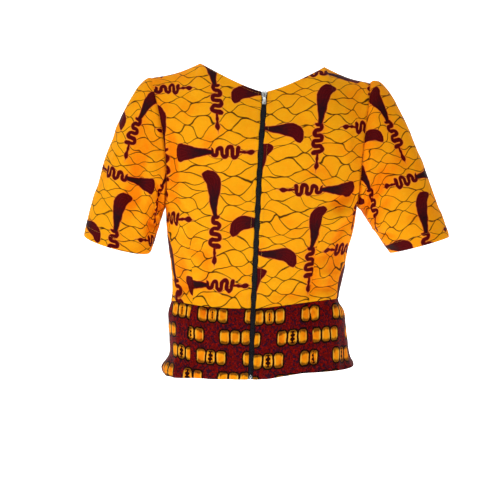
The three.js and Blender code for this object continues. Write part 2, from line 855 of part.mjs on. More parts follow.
// The slider in its own frame: -Y out of the cloth, +Z up the zip.
function sliderGeometry(wasm) {
  const outerFace = -sliderLift - sliderPlate;
  const outline = roundedPlate(
    sliderHalfWidth,
    sliderHalfWidth * sliderTaper,
    sliderHalfLength,
    -sliderHalfLength,
    sliderTopRound,
  );
  const innerFace = innerPlateDepth + sliderPlate;
  const flange = (sign) => boxGeometry(
    Math.min(sign * flangeInner, sign * flangeOuter),
    Math.max(sign * flangeInner, sign * flangeOuter),
    -sliderLift - sliderPlate / 2,
    flangeDepth,
    -sliderHalfLength + sliderTopRound,
    sliderHalfLength - sliderTopRound,
  );
  const bridgeTop = outerFace - bridgeRoom - bridgeBar;
  const foot = outerFace + sliderPlate / 2;
  const leg = (sign) => boxGeometry(
    -bridgeHalfWidth,
    bridgeHalfWidth,
    bridgeTop,
    foot,
    Math.min(sign * bridgeInnerHalfLength, sign * bridgeHalfLength),
    Math.max(sign * bridgeInnerHalfLength, sign * bridgeHalfLength),
  );
  const crown = boxGeometry(
    -bridgeHalfWidth,
    bridgeHalfWidth,
    bridgeTop,
    bridgeTop + bridgeBar,
    -bridgeHalfLength,
    bridgeHalfLength,
  );
  const post = boxGeometry(
    -postHalfWidth,
    postHalfWidth,
    -sliderLift - sliderPlate / 2,
    innerPlateDepth + sliderPlate / 2,
    postLow,
    postHigh,
  );
  return joined(wasm, [
    plateGeometry(outline, outerFace, -sliderLift),
    plateGeometry(outline, innerPlateDepth, innerFace),
    flange(-1),
    flange(1),
    post,
    leg(-1),
    leg(1),
    crown,
  ]);
}

// The pull tab, with the middle of its pin at the origin: a bar under the slider's
// bridge, two arms beside it and the tab below them.
function pullGeometry(wasm) {
  const pin = new THREE.CylinderGeometry(pinRadius, pinRadius, armOuter * 2, pinSides);
  pin.rotateZ(quarterTurn);
  const arm = (sign) => boxGeometry(
    Math.min(sign * armInner, sign * armOuter),
    Math.max(sign * armInner, sign * armOuter),
    -armHalfDepth,
    armHalfDepth,
    -tabTop - tabCorner,
    0,
  );
  const tab = roundedPlate(tabHalfTop, tabHalfBottom, -tabTop, -tabBottom, tabCorner);
  return joined(wasm, [pin, arm(-1), arm(1), plateGeometry(tab, -armHalfDepth, armHalfDepth)]);
}

// A group that stands on the zip line, with +Z up the zip and -Y out of the cloth.
function zipFrame(line, distance) {
  const { point, normal, tangent } = pointFromTop(line, distance);
  const inward = normal.clone().negate();
  const right = inward.clone().cross(tangent).normalize();
  const squareInward = tangent.clone().cross(right).normalize();
  const group = new THREE.Group();
  group.position.copy(point);
  group.quaternion.setFromRotationMatrix(new THREE.Matrix4().makeBasis(right, squareInward, tangent));
  return group;
}

async function makeTop() {
  const wasm = await Module();
  wasm.setup();
  const top = new THREE.Group();
  const torso = { left: makeBack(sides.left), right: makeBack(sides.right) };
  const basque = { left: makeBasqueBack(sides.left), right: makeBasqueBack(sides.right) };
  const front = makeFront();
  const basqueFront = makeBasqueFront();
  const cloth = () => clothMaterial(clothColor, 0.75);
  const band = () => clothMaterial(basqueColor, 0.8);
  const addWall = (name, piece, material, closed = false) => {
    const geometry = wallGeometry(piece.outer, piece.inner, piece.sign, closed);
    top.add(namedMesh(name, geometry, material));
  };
  addWall('back_left', torso.left, cloth());
  addWall('back_right', torso.right, cloth());
  addWall('front', front, cloth());
  addWall('sleeve_left', makeSleeve(sides.left, torso.left, front), cloth(), true);
  addWall('sleeve_right', makeSleeve(sides.right, torso.right, front), cloth(), true);
  addWall('basque_back_left', basque.left, band());
  addWall('basque_back_right', basque.right, band());
  addWall('basque_front', basqueFront, band());

  const edges = {
    left: zipEdges(torso.left, basque.left),
    right: zipEdges(torso.right, basque.right),
  };
  const line = zipLine(edges.left, edges.right);
  const length = lineLength(line);
  const chainEnd = length - chainBottomRoom;
  const stopStart = chainEnd + seamGap;
  const bar = (from, to, halfWidth) => zipBar(line, from, to, halfWidth, chainSink, chainWall);
  const tape = () => clothMaterial(tapeColor, 0.85);
  top.add(namedMesh('zip_tape_left', makeTape(sides.left, edges.left), tape()));
  top.add(namedMesh('zip_tape_right', makeTape(sides.right, edges.right), tape()));
  const chain = bar(chainTopRoom, chainEnd, chainHalfWidth);
  top.add(namedMesh('zip_chain', chain, clothMaterial(chainColor, 0.45)));
  const stop = bar(stopStart, stopStart + stopLength, stopHalfWidth);
  top.add(namedMesh('zip_bottom_stop', stop, metalMaterial(metalColor)));

  const slider = zipFrame(line, sliderDrop);
  slider.add(namedMesh('zip_slider', sliderGeometry(wasm), metalMaterial(metalColor)));
  const pull = namedMesh('zip_pull', pullGeometry(wasm), metalMaterial(metalColor));
  pull.position.set(0, -(sliderLift + sliderPlate + pinLift), pinZ);
  slider.add(pull);
  top.add(slider);
  return top;
}

export default await makeTop();
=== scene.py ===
import math

import bmesh
import bpy
import numpy as np
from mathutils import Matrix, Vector, noise


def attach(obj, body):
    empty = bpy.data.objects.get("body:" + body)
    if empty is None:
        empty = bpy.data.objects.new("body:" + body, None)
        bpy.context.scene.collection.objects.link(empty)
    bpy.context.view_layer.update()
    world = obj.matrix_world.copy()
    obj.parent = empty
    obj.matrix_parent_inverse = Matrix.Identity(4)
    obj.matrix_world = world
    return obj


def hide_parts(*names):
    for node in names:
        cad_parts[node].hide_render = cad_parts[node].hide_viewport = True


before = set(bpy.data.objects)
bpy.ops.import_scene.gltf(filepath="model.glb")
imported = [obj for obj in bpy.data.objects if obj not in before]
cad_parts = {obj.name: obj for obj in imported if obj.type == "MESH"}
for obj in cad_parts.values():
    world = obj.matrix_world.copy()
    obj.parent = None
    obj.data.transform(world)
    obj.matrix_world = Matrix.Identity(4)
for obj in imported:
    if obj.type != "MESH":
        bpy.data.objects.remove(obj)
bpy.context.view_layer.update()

scene = bpy.context.scene

mm = 0.001


def smooth(value, low, high):
    t = np.clip((value - low) / (high - low), 0, 1)
    return t * t * (3 - 2 * t)


def mix(a, b, t):
    return a + (b - a) * t


def points(x, y, z):
    return np.stack(np.broadcast_arrays(x, y, z), axis=-1).astype(float)


def lengthOf(vectors):
    return np.linalg.norm(vectors, axis=-1)


def unit(vectors):
    return vectors / np.maximum(lengthOf(vectors), 1e-9)[..., None]


def hermite(start, startSlope, end, endSlope, t):
    t2, t3 = t * t, t * t * t
    fromStart = (2 * t3 - 3 * t2 + 1) * start + (t3 - 2 * t2 + t) * startSlope
    return fromStart + (3 * t2 - 2 * t3) * end + (t3 - t2) * endSlope


def steps(distances, axis):
    # running length along a grid of points
    lengths = lengthOf(np.diff(distances, axis=axis))
    pad = [(0, 0), (0, 0)]
    pad[axis] = (1, 0)
    return np.pad(np.cumsum(lengths, axis=axis), pad)


def gridNormals(grid, sign, closed=False):
    if closed:
        right = np.roll(grid, -1, axis=1) - np.roll(grid, 1, axis=1)
    else:
        right = np.gradient(grid, axis=1)
    up = np.gradient(grid, axis=0)
    return unit(np.cross(right, up)) * sign


def softNoise(grid, size, seed, stretch=(1, 1, 1)):
    # smooth noise from -1 to 1 with waves of about this size in millimetres
    scaled = (grid * np.array(stretch) / size + seed * 17.31).reshape(-1, 3)
    values = [noise.noise(Vector(p)) for p in scaled]
    return np.array(values).reshape(grid.shape[:-1])


# millimetres, +Z up, the back faces -Y
body = {
    "fullness": 2.3,
    "yokeZ": -140,
    "armpitZ": -250,
    "waistCentreZ": -424,
    "hemCentreZ": -543.5,
    "neckHalfWidth": 110,
    "neckDepth": {-1: 72, 1: 78},
    "neckLowest": {-1: -49, 1: -98},
    "neckShare": 2 / 3,
    "shoulderSag": 4.5,
    "zipTopX": 3,
    "zipDrift": 24.5,
    "zipDriftPower": 0.85,
    "zipTopZ": -47,
    "zipFall": 513,
    "zipOpening": 4.2,
    "armholeDepth": {-1: 60, 1: 62},
    "armholePower": 2.6,
    "bustRise": 15,
    "bust": (78, -245, 46, 62),
}
bodyRows = np.array([
    # z, left, right, back, front
    (-140, 172, 170, 106, 96),
    (-250, 172, 168.5, 100, 112),
    (-293, 170, 162, 93, 108),
    (-328, 166.5, 153, 86, 101),
    (-368, 162, 147, 79, 94),
    (-398, 161, 140, 75, 89),
    (-420, 163, 137.5, 74, 88),
    (-436, 168, 147, 80, 95),
    (-463, 168, 150.5, 89, 103),
    (-491, 166.5, 154, 96, 108),
    (-516, 167.5, 158, 101, 111),
    (-536, 181, 166.5, 104, 113),
    (-550, 179, 168, 105, 114),
])
rowNames = ["z", "left", "right", "back", "front"]
left = {
    "name": "left", "sign": -1, "neckZ": 3, "shoulderX": 195, "shoulderZ": -21.5,
    "armholeTopX": 170, "armpitX": 172, "armholeDip": 4, "waistZ": -421,
    "waistLift": 6, "waistLiftPower": 2, "hemZ": -550, "hemSpan": (0.2, 1),
}
right = {
    "name": "right", "sign": 1, "neckZ": -3, "shoulderX": 190, "shoulderZ": -31,
    "armholeTopX": 176, "armpitX": 168.5, "armholeDip": 1, "waistZ": -415,
    "waistLift": 8.5, "waistLiftPower": 1, "hemZ": -534, "hemSpan": (0, 0.3),
}
backFace, frontFace = -1, 1


def bodyValue(column, z):
    heights, values = bodyRows[:, 0], bodyRows[:, rowNames.index(column)]
    slopes = np.empty(len(values))
    slopes[1:-1] = (values[2:] - values[:-2]) / (heights[2:] - heights[:-2])
    slopes[0] = (values[1] - values[0]) / (heights[1] - heights[0])
    slopes[-1] = (values[-1] - values[-2]) / (heights[-1] - heights[-2])
    i = np.clip(np.searchsorted(-heights, -z), 1, len(values) - 1)
    span = heights[i] - heights[i - 1]
    t = np.clip((z - heights[i - 1]) / span, 0, 1)
    return hermite(values[i - 1], slopes[i - 1] * span, values[i], slopes[i] * span, t)


def zipX(z):
    share = np.clip((body["zipTopZ"] - z) / body["zipFall"], 0, 1.1)
    return body["zipTopX"] - body["zipDrift"] * share ** body["zipDriftPower"]


def bodyPoint(side, face, across, z, start):
    sign, n = side["sign"], body["fullness"]
    share = np.clip((body["yokeZ"] - z) / (body["yokeZ"] - body["armpitZ"]), 0, 1)
    dip = side["armholeDip"] * np.sin(np.pi * share)
    above = z > body["armpitZ"]
    armholeX = mix(side["armholeTopX"], side["armpitX"], share) - dip
    edgeX = np.where(above, armholeX, bodyValue(side["name"], z))
    power = body["armholePower"]
    edgeY = np.where(above, body["armholeDepth"][face] * (1 - share ** power) ** (1 / power), 0)
    centre = zipX(z)
    reach = np.abs(sign * edgeX - centre) - start
    depth = bodyValue("back" if face == backFace else "front", z)
    edgeShare = (edgeY / depth) ** n
    halfWidth = reach / (1 - edgeShare) ** (1 / n)
    lastAngle = np.arctan2((reach / halfWidth) ** (n / 2), edgeShare ** 0.5)
    angle = across * lastAngle
    x = centre + sign * (start + halfWidth * np.sin(angle) ** (2 / n))
    y = face * depth * np.maximum(np.cos(angle), 0) ** (2 / n)
    if face == frontFace:
        bustX, bustZ, bustWidth, bustHeight = body["bust"]
        besideX = (np.abs(x - centre) - bustX) / bustWidth
        besideZ = (z - bustZ) / bustHeight
        y = y + body["bustRise"] * np.exp(-besideX ** 2 - besideZ ** 2)
    return points(x, y, z)


def topPoint(side, face, across, start):
    sign = side["sign"]
    angle = np.clip(across / body["neckShare"], 0, 1) * np.pi / 2
    cosine, sine = np.maximum(np.cos(angle), 0), np.sin(angle)
    drop = 1 - sine ** 1.3 if face == backFace else cosine ** 1.2
    neckX = body["zipTopX"] * cosine + sign * mix(start, body["neckHalfWidth"], sine)
    neckY = face * cosine * body["neckDepth"][face]
    neckZ = side["neckZ"] - (side["neckZ"] - body["neckLowest"][face]) * drop
    share = np.clip((across - body["neckShare"]) / (1 - body["neckShare"]), 0, 1)
    seamX = sign * mix(body["neckHalfWidth"], side["shoulderX"], share)
    sag = body["shoulderSag"] * np.sin(np.pi * share)
    seamZ = mix(side["neckZ"], side["shoulderZ"], share) - sag
    onNeck = across <= body["neckShare"]
    return points(np.where(onNeck, neckX, seamX), np.where(onNeck, neckY, 0),
                  np.where(onNeck, neckZ, seamZ))


def yokePoint(side, face, across, share, start):
    probe = 6
    low = bodyPoint(side, face, across, body["yokeZ"] + 0 * across, start)
    lower = bodyPoint(side, face, across, body["yokeZ"] - probe + 0 * across, start)
    high = topPoint(side, face, across, start)
    length = lengthOf(high - low)[..., None]
    toShoulder = smooth(across, 0, body["neckShare"])
    lean, lift = mix(0.42, 1, toShoulder), mix(0.9, 0.05, toShoulder)
    arrive = points(0 * across, -face * lean, lift) * length
    return hermite(low, (low - lower) * length / probe, high, arrive, share[..., None])


def waistZAt(side, across):
    lift = side["waistLift"] * np.sin(np.pi * across ** side["waistLiftPower"])
    return mix(body["waistCentreZ"], side["waistZ"], across ** 2) + lift


# (x0, z0, x1, z1, width, rise) in millimetres seen from behind, troughs are negative
bodyFolds = [
    (-155, -120, -146, -235, 14, -5),
    (-138, -150, -128, -300, 18, 3),
    (158, -215, 128, -262, 14, -4),
    (138, -300, 118, -400, 16, -4),
    (-148, -330, -134, -405, 15, -3),
    (-99, -318, -99, -416, 11, -2.5),
    (90, -310, 86, -416, 11, -2.5),
]
backCreases = [
    (-166, -222, -112, -268, 7, -2.6),
    (-168, -246, -120, -300, 8, 2.2),
    (-150, -105, -141, -200, 8, 2.0),
    (-62, -95, -104, -158, 12, -1.6),
    (-30, -75, -84, -120, 10, 1.4),
    (-152, -392, -98, -382, 6, -1.8),
    (-146, -372, -92, -358, 7, 1.5),
    (-84, -404, -22, -398, 5, -1.5),
    (-70, -388, -26, -378, 7, 1.2),
    (-124, -180, -60, -206, 11, -1.6),
    (-92, -240, -30, -226, 12, 1.2),
    (-140, -318, -84, -338, 9, -1.6),
    (163, -224, 104, -250, 7, -2.6),
    (166, -240, 112, -286, 8, 2.4),
    (160, -262, 122, -318, 7, -2.2),
    (150, -110, 146, -196, 8, 1.8),
    (58, -90, 110, -150, 12, -1.5),
    (134, -396, 84, -390, 6, -1.8),
    (138, -372, 90, -364, 7, 1.6),
    (70, -404, 14, -400, 5, -1.4),
    (60, -384, 12, -376, 7, 1.1),
    (120, -176, 54, -200, 11, -1.5),
    (84, -262, 26, -246, 11, 1.2),
    (130, -326, 88, -344, 8, -1.5),
]
frontCreases = [
    (-164, -224, -116, -250, 8, -2.6),
    (-160, -252, -108, -282, 9, 2.0),
    (-140, -96, -118, -170, 10, -1.8),
    (-84, -330, -80, -416, 9, -2.6),
    (-150, -388, -96, -372, 7, -1.8),
    (-60, -398, -8, -386, 7, 1.5),
    (-52, -150, 0, -186, 12, -1.6),
    (162, -222, 112, -254, 8, -2.6),
    (160, -256, 106, -290, 9, 2.2),
    (142, -100, 120, -176, 10, -1.8),
    (84, -330, 78, -416, 9, -2.6),
    (140, -386, 92, -370, 7, -1.8),
    (56, -400, 6, -390, 7, 1.5),
    (54, -146, 4, -180, 12, -1.6),
    (-40, -250, 36, -262, 12, -1.4),
]


def foldRise(px, pz, folds, ends=(0.12, 0.88)):
    total = np.zeros(np.broadcast(px, pz).shape)
    for x0, z0, x1, z1, width, rise in folds:
        dx, dz = x1 - x0, z1 - z0
        along = np.clip(((px - x0) * dx + (pz - z0) * dz) / (dx * dx + dz * dz), 0, 1)
        beside = np.hypot(px - x0 - along * dx, pz - z0 - along * dz) / width
        total += rise * np.exp(-beside ** 2) * np.sin(np.pi * mix(ends[0], ends[1], along))
    return total


# how a seam edge rolls in, as (depth, width), and the shares of the soft unevenness
edges = {
    "waist": (0.9, 2.2),
    "side": (0.9, 2.2),
    "shoulder": (0.8, 2.2),
    "armhole": (1.1, 2.4),
    "neck": (0.7, 1.1),
    "zip": (1.5, 1.1),
    "hem": (0.8, 1.2),
    "cuff": (0.7, 1.3),
}
cloth = {
    # painted shade: a deeper tint on the outer side of each sleeve, and under the arms
    "outerShade": {"left": 0.05, "right": 0.3},
    "underShade": 0.25,
    "thickness": 0.7,
    "creaseShare": 1.5,
    # painted shade in the cloth's colour: full in folds this deep, and near the side seams within the reach
    "deepFold": 4.5,
    "sideShade": 0.4,
    "sideShadeReach": 26,
    "waveSize": 62,
    "waveHeight": 1.9,
    "ruckSize": 19,
    "ruckHeight": 0.75,
    "seamPucker": 0.55,
    "seamPuckerReach": 9,
    "neckStitch": 5.5,
    "zipStitch": 6.5,
    "hemStitch": 10,
    "cuffStitch": 20,
    "stitchSink": 0.3,
    "stitchWidth": 0.9,
    "frontDart": 0.52,
    "dartDepth": 0.9,
    "dartWidth": 1.6,
    "foldShare": 1.4,
    "frontFoldShare": 0.6,
}


def roll(distance, edge):
    depth, width = edges[edge]
    return -depth * np.exp(-(distance / width) ** 2)


def stitchGroove(distance, place):
    return -cloth["stitchSink"] * np.exp(-((distance - place) / cloth["stitchWidth"]) ** 2)


# ripples beside a sewn line, as (share of the full height, length, seed)
ripples = {
    "waist": (1, 23, 1),
    "armhole": (1, 26, 2),
    "zip": (1.3, 34, 3),
    "side": (0.6, 31, 4),
    "bandTop": (1, 17, 5),
    "bandSide": (0.6, 24, 6),
    "bandZip": (1, 30, 7),
    "sleeve": (1.3, 22, 8),
}
# how far from its seams a piece of cloth lies calm
calm = {
    "torso": {"side": 16, "waist": 12, "top": 14, "zip": 12},
    "band": {"side": 14, "waist": 10, "zip": 10},
    "sleeve": {"armhole": 14, "cuff": 10},
}
rippleRoom = {"waist": 60, "bandTop": 50, "side": 8, "armhole": 3}


def pucker(distance, alongSeam, seam):
    # short ripples that run away from a sewn line
    share, wave, seed = ripples[seam]
    phase = alongSeam / wave * 2 * np.pi + 2.3 * np.sin(alongSeam / (wave * 2.7) + seed)
    return share * cloth["seamPucker"] * np.sin(phase) * np.exp(-distance / cloth["seamPuckerReach"])


def awayFrom(piece, **distances):
    # 0 at the seams of a piece, 1 where the cloth is free to crease
    free = 1
    for seam, distance in distances.items():
        free = free * smooth(distance, 0, calm[piece][seam])
    return free


mesh = {
    "below": 60, "armhole": 38, "yoke": 44, "basque": 42, "columns": 66, "bandColumns": 76, "sleeve": 66,
    # shares of a panel at which closer columns lie beside its edges and its dart
    "besideEdge": (0.004, 0.009),
    "besideDart": (0.0015, 0.006, 0.012, 0.024),
    "dartGap": 0.005,
    # shares of one row at which closer rows lie beside a seam
    "besideSeam": (0.25, 0.55),
}
darts = {
    # side: (share across, top of the dart, cloth taken in at the waist)
    "left": (0.485, -306, 40),
    "right": (0.4, -240, 36),
}
basqueTuck = {"left": (0.485, 25), "right": (0.39, 21), "front": (0.5, 22)}
basque = {
    "waveLength": 52,       # of the large waves, which grow to the hem
    "waveHeight": 2.4,
    "wavePower": 1.6,
    "hollows": (-100, 82),  # where the darts draw the band in
    "hollowWidth": 9,
    "hollowDepth": 3,
    "rippleLength": 19,
    "rippleHeight": 0.8,
    "pleatSize": 24,
    "pleatHeight": 1.2,
    "creaseSize": 11,
    "creaseHeight": 0.5,
    "tuckDepth": 1.2,
    "tuckWidth": 1.5,
    "tuckRise": 1.3,
    "tuckLap": (3.5, 3),    # place and width of the raised cloth beside a tuck
}


def acrossShares(count, fineAt=None):
    # columns across a panel, closer together at its edges and beside a dart
    t = np.linspace(0, 1, count + 1)
    extra = [s for edge in mesh["besideEdge"] for s in (edge, 1 - edge)]
    if fineAt:
        extra += [fineAt + s * d for d in mesh["besideDart"] for s in (-1, 1)]
        t = t[np.abs(t - fineAt) > mesh["dartGap"]]
    return np.unique(np.round(np.concatenate([t, extra]), 5))


def edgeRows(count, low=True, high=True):
    # shares along a panel with closer rows at its seams
    t = np.linspace(0, 1, count + 1)
    close = np.array(mesh["besideSeam"]) / count
    extra = np.concatenate([close if low else [], 1 - close if high else []])
    return np.unique(np.round(np.concatenate([t, extra]), 6))


def foldShade(rise, fromSide):
    # painted shade, from 0 to 1, for the colour of the cloth: how deep a spot lies in a fold, and more near a
    # seam
    edgeShade = cloth["sideShade"] * np.exp(-fromSide / cloth["sideShadeReach"])
    return np.clip(-rise / cloth["deepFold"], 0, 1) + edgeShade


def torsoGrid(side, face, shares, start):
    across = shares[None, :]
    power = body["armholePower"]
    below = edgeRows(mesh["below"], True, False)[:, None]
    zBelow = mix(waistZAt(side, across), body["armpitZ"], below)
    low = bodyPoint(side, face, across + 0 * zBelow, zBelow, start)
    turn = (1 - np.arange(1, mesh["armhole"] + 1) / mesh["armhole"]) * np.pi / 2
    zArm = mix(body["yokeZ"], body["armpitZ"], np.sin(turn) ** (2 / power))[:, None]
    middle = bodyPoint(side, face, across + 0 * zArm, zArm + 0 * across, start)
    share = edgeRows(mesh["yoke"], False, True)[1:, None]
    top = yokePoint(side, face, across + 0 * share, share + 0 * across, start)
    counts = {"low": len(below), "middle": len(turn), "high": len(share)}
    stepBelow = np.concatenate([below[:, 0] * 9, np.full(len(turn) + len(share), 9)])
    return np.concatenate([low, middle, top]), counts, stepBelow[:, None]


def basqueGrid(side, face, shares, start):
    across = shares[None, :]
    share = edgeRows(mesh["basque"])[:, None]
    hemZ = mix(body["hemCentreZ"], side["hemZ"], smooth(across, *side["hemSpan"]))
    z = mix(hemZ, waistZAt(side, across), share)
    return bodyPoint(side, face, across + 0 * z, z, start), share


def dartStep(side, across, z):
    # width of cloth that the dart has taken in beyond its line
    place, topZ, taken = darts[side["name"]]
    deep = np.clip((topZ - z) / (topZ - side["waistZ"]), 0, 1)
    return taken * deep * (across > place), deep


def makeTorso(side, face):
    isBack = face == backFace
    start = body["zipOpening"] if isBack else 0
    place = darts[side["name"]][0] if isBack else cloth["frontDart"]
    shares = acrossShares(mesh["columns"], place)
    base, counts, stepBelow = torsoGrid(side, face, shares, start)
    across = shares[None, :] + 0 * base[..., 2]
    sign = side["sign"] if isBack else -side["sign"]
    normals = gridNormals(base, sign)
    x, z = base[..., 0], base[..., 2]
    fade = smooth(across, 0.02, 0.15) * (1 - smooth(across, 0.9, 1)) * smooth(stepBelow, 0, 1)
    rise = cloth["foldShare"] * fade * foldRise(x, z, bodyFolds) * (1 if isBack else cloth["frontFoldShare"])
    fromZip = steps(base, 1)
    fromSide = fromZip[:, -1:] - fromZip
    fromWaist = steps(base, 0)
    fromTop = fromWaist[-1:, :] - fromWaist
    lastLow = counts["low"] - 1
    onArm = (np.arange(len(base)) > lastLow)[:, None]
    onShoulder = shares[None, :] >= body["neckShare"] - 1e-6
    onNeck = ~onShoulder
    free = awayFrom("torso", side=fromSide, waist=fromWaist, top=fromTop)
    if isBack:
        free = free * awayFrom("torso", zip=fromZip)
    creases = backCreases if isBack else frontCreases
    rise = rise + cloth["creaseShare"] * free * foldRise(x, z, creases, (0.03, 0.97))
    uneven = cloth["waveHeight"] * softNoise(base, cloth["waveSize"], 3 + face, (1, 1, 0.7))
    uneven = uneven + cloth["ruckHeight"] * softNoise(base, cloth["ruckSize"], 8 + face, (1, 1, 0.6))
    rise = rise + free * uneven
    # painted shade for the cloth's colour, from the folds and the side seam
    fold = foldShade(rise, fromSide)
    # a pressed dart, and ripples beside the sewn lines
    deep = np.clip((darts[side["name"]][1] - z) / 60, 0, 1)
    line = np.abs(across - place) * fromZip[:, -1:]
    rise = rise - cloth["dartDepth"] * deep * np.exp(-(line / cloth["dartWidth"]) ** 2)
    besideWaist = np.where(fromWaist < rippleRoom["waist"], pucker(fromWaist, fromZip, "waist"), 0)
    rise = rise + besideWaist * smooth(fromSide, 0, rippleRoom["side"])
    rise = rise + np.where(onArm, pucker(fromSide, z, "armhole"), pucker(fromSide, z, "side"))
    if isBack:
        rise = rise + pucker(fromZip, z, "zip")
        rise = rise + roll(fromZip, "zip") + stitchGroove(fromZip, cloth["zipStitch"])
    sideRoll = np.where(onArm, roll(fromSide, "armhole"), roll(fromSide, "side"))
    rise = rise + roll(fromWaist, "waist") + sideRoll
    neckRoll = roll(fromTop, "neck") + stitchGroove(fromTop, cloth["neckStitch"])
    rise = rise + np.where(onNeck, neckRoll, roll(fromTop, "shoulder"))
    outer = base + normals * rise[..., None]
    taken = dartStep(side, across, z)[0] if isBack else 0
    # print coordinates: distance from the zip, and height with the yoke unrolled
    flatZ = z.copy()
    yokeRow = lastLow + counts["middle"]
    flatZ[yokeRow:] = z[yokeRow] + fromWaist[yokeRow:] - fromWaist[yokeRow]
    beside = np.abs(x - zipX(z))
    flatU = fromZip + start + taken
    for i in range(yokeRow + 1, len(z)):
        past = np.maximum(beside[i] - beside[yokeRow, -1], 0)
        flatU[i] = np.interp(beside[i], beside[yokeRow], flatU[yokeRow]) + past
    return {
        "side": side, "face": face, "shares": shares, "base": base, "outer": outer,
        "normals": gridNormals(outer, sign), "baseNormals": normals, "sign": sign,
        "lastLow": lastLow, "u": flatU, "v": flatZ, "fold": fold,
    }


def makeBasque(side, face):
    isBack = face == backFace
    start = body["zipOpening"] if isBack else 0
    place, taken = basqueTuck[side["name"] if isBack else "front"]
    shares = acrossShares(mesh["bandColumns"], place)
    base, share = basqueGrid(side, face, shares, start)
    across = shares[None, :] + 0 * base[..., 2]
    sign = side["sign"] if isBack else -side["sign"]
    normals = gridNormals(base, sign)
    x = base[..., 0]
    fade = smooth(across, 0, 0.08) * (1 - smooth(across, 0.92, 1))
    waves = np.sin(x / basque["waveLength"] * 2 * np.pi + 0.8 * np.sin(x / 37))
    waves = basque["waveHeight"] * (1 - share) ** basque["wavePower"] * waves
    hollow = sum(np.exp(-((x - t) / basque["hollowWidth"]) ** 2) for t in basque["hollows"])
    rise = fade * (waves - basque["hollowDepth"] * mix(0.35, 1, share) * hollow)
    fromZip = steps(base, 1)
    fromSide = fromZip[:, -1:] - fromZip
    fromHem = steps(base, 0)
    fromWaist = fromHem[-1:, :] - fromHem
    free = awayFrom("band", side=fromSide, waist=fromWaist)
    if isBack:
        free = free * awayFrom("band", zip=fromZip)
    # fine ripples of the hem, upright soft pleats below the waist
    small = np.sin(x / basque["rippleLength"] * 2 * np.pi + 1.7 * np.sin(x / 43 + face))
    rise = rise + free * basque["rippleHeight"] * (1 - share) ** 2 * small
    pleats = softNoise(base, basque["pleatSize"], 5 + face, (1, 1, 0.3))
    creases = softNoise(base, basque["creaseSize"], 9 + face, (1, 1, 0.5))
    rise = rise + free * (basque["pleatHeight"] * pleats + basque["creaseHeight"] * creases)
    # painted shade for the cloth's colour, from the folds and the side seam
    fold = foldShade(rise, fromSide)
    line = np.abs(across - place) * fromZip[:, -1:]
    over = (across - place) * fromZip[:, -1:]
    lapPlace, lapWidth = basque["tuckLap"]
    rise = rise - basque["tuckDepth"] * np.exp(-(line / basque["tuckWidth"]) ** 2)
    rise = rise + basque["tuckRise"] * np.exp(-((over - lapPlace) / lapWidth) ** 2) * share
    besideWaist = np.where(fromWaist < rippleRoom["bandTop"], pucker(fromWaist, fromZip, "bandTop"), 0)
    rise = rise + besideWaist * smooth(fromSide, 0, rippleRoom["side"])
    rise = rise + pucker(fromSide, base[..., 2], "bandSide")
    if isBack:
        rise = rise + pucker(fromZip, base[..., 2], "bandZip")
        rise = rise + roll(fromZip, "zip") + stitchGroove(fromZip, cloth["zipStitch"])
    rise = rise + roll(fromWaist, "waist") + roll(fromSide, "side") + roll(fromHem, "hem")
    rise = rise + stitchGroove(fromHem, cloth["hemStitch"])
    outer = base + normals * rise[..., None]
    return {
        "side": side, "face": face, "shares": shares, "base": base, "outer": outer,
        "normals": gridNormals(outer, sign), "sign": sign,
        "u": fromZip + start + taken * (across > place), "v": base[..., 2] - waistZAt(side, across),
        "fold": fold,
    }


def joinHalves(leftPart, rightPart):
    # one front panel from its two halves, with the left half's columns reversed
    whole = dict(leftPart)
    for key in ("base", "outer", "baseNormals"):
        if key in leftPart:
            flipped = leftPart[key][:, ::-1]
            whole[key] = np.concatenate([flipped[:, :-1], rightPart[key]], axis=1)
    centre = leftPart["outer"].shape[1] - 1
    whole["outer"][:, centre] = (leftPart["outer"][:, 0] + rightPart["outer"][:, 0]) / 2
    whole["u"] = np.concatenate([-leftPart["u"][:, :0:-1], rightPart["u"]], axis=1)
    for key in ("v", "fold"):
        whole[key] = np.concatenate([leftPart[key][:, :0:-1], rightPart[key]], axis=1)
    whole["sign"] = -1
    whole["normals"] = gridNormals(whole["outer"], -1)
    return whole


sleeves = {
    "left": {
        "cuffCentre": (-260.5, 8, -317.8), "cuffChord": (0.963, 0, -0.268),
        "cuffHalfChord": 61.3, "cuffHalfDepth": 54, "cuffDip": 5,
        "topStart": (0.49, -0.065), "topEnd": (0.244, -0.88),
        "underStart": (0.3, -0.5), "underEnd": (0.45, -0.79),
    },
    "right": {
        "cuffCentre": (282.8, 8, -319.3), "cuffChord": (-0.962, 0, -0.273),
        "cuffHalfChord": 54.9, "cuffHalfDepth": 58, "cuffDip": -3,
        "topStart": (0.4, 0.35), "topEnd": (0.32, -0.77),
        "underStart": (0.5, -0.5), "underEnd": (0.55, -0.7),
    },
}
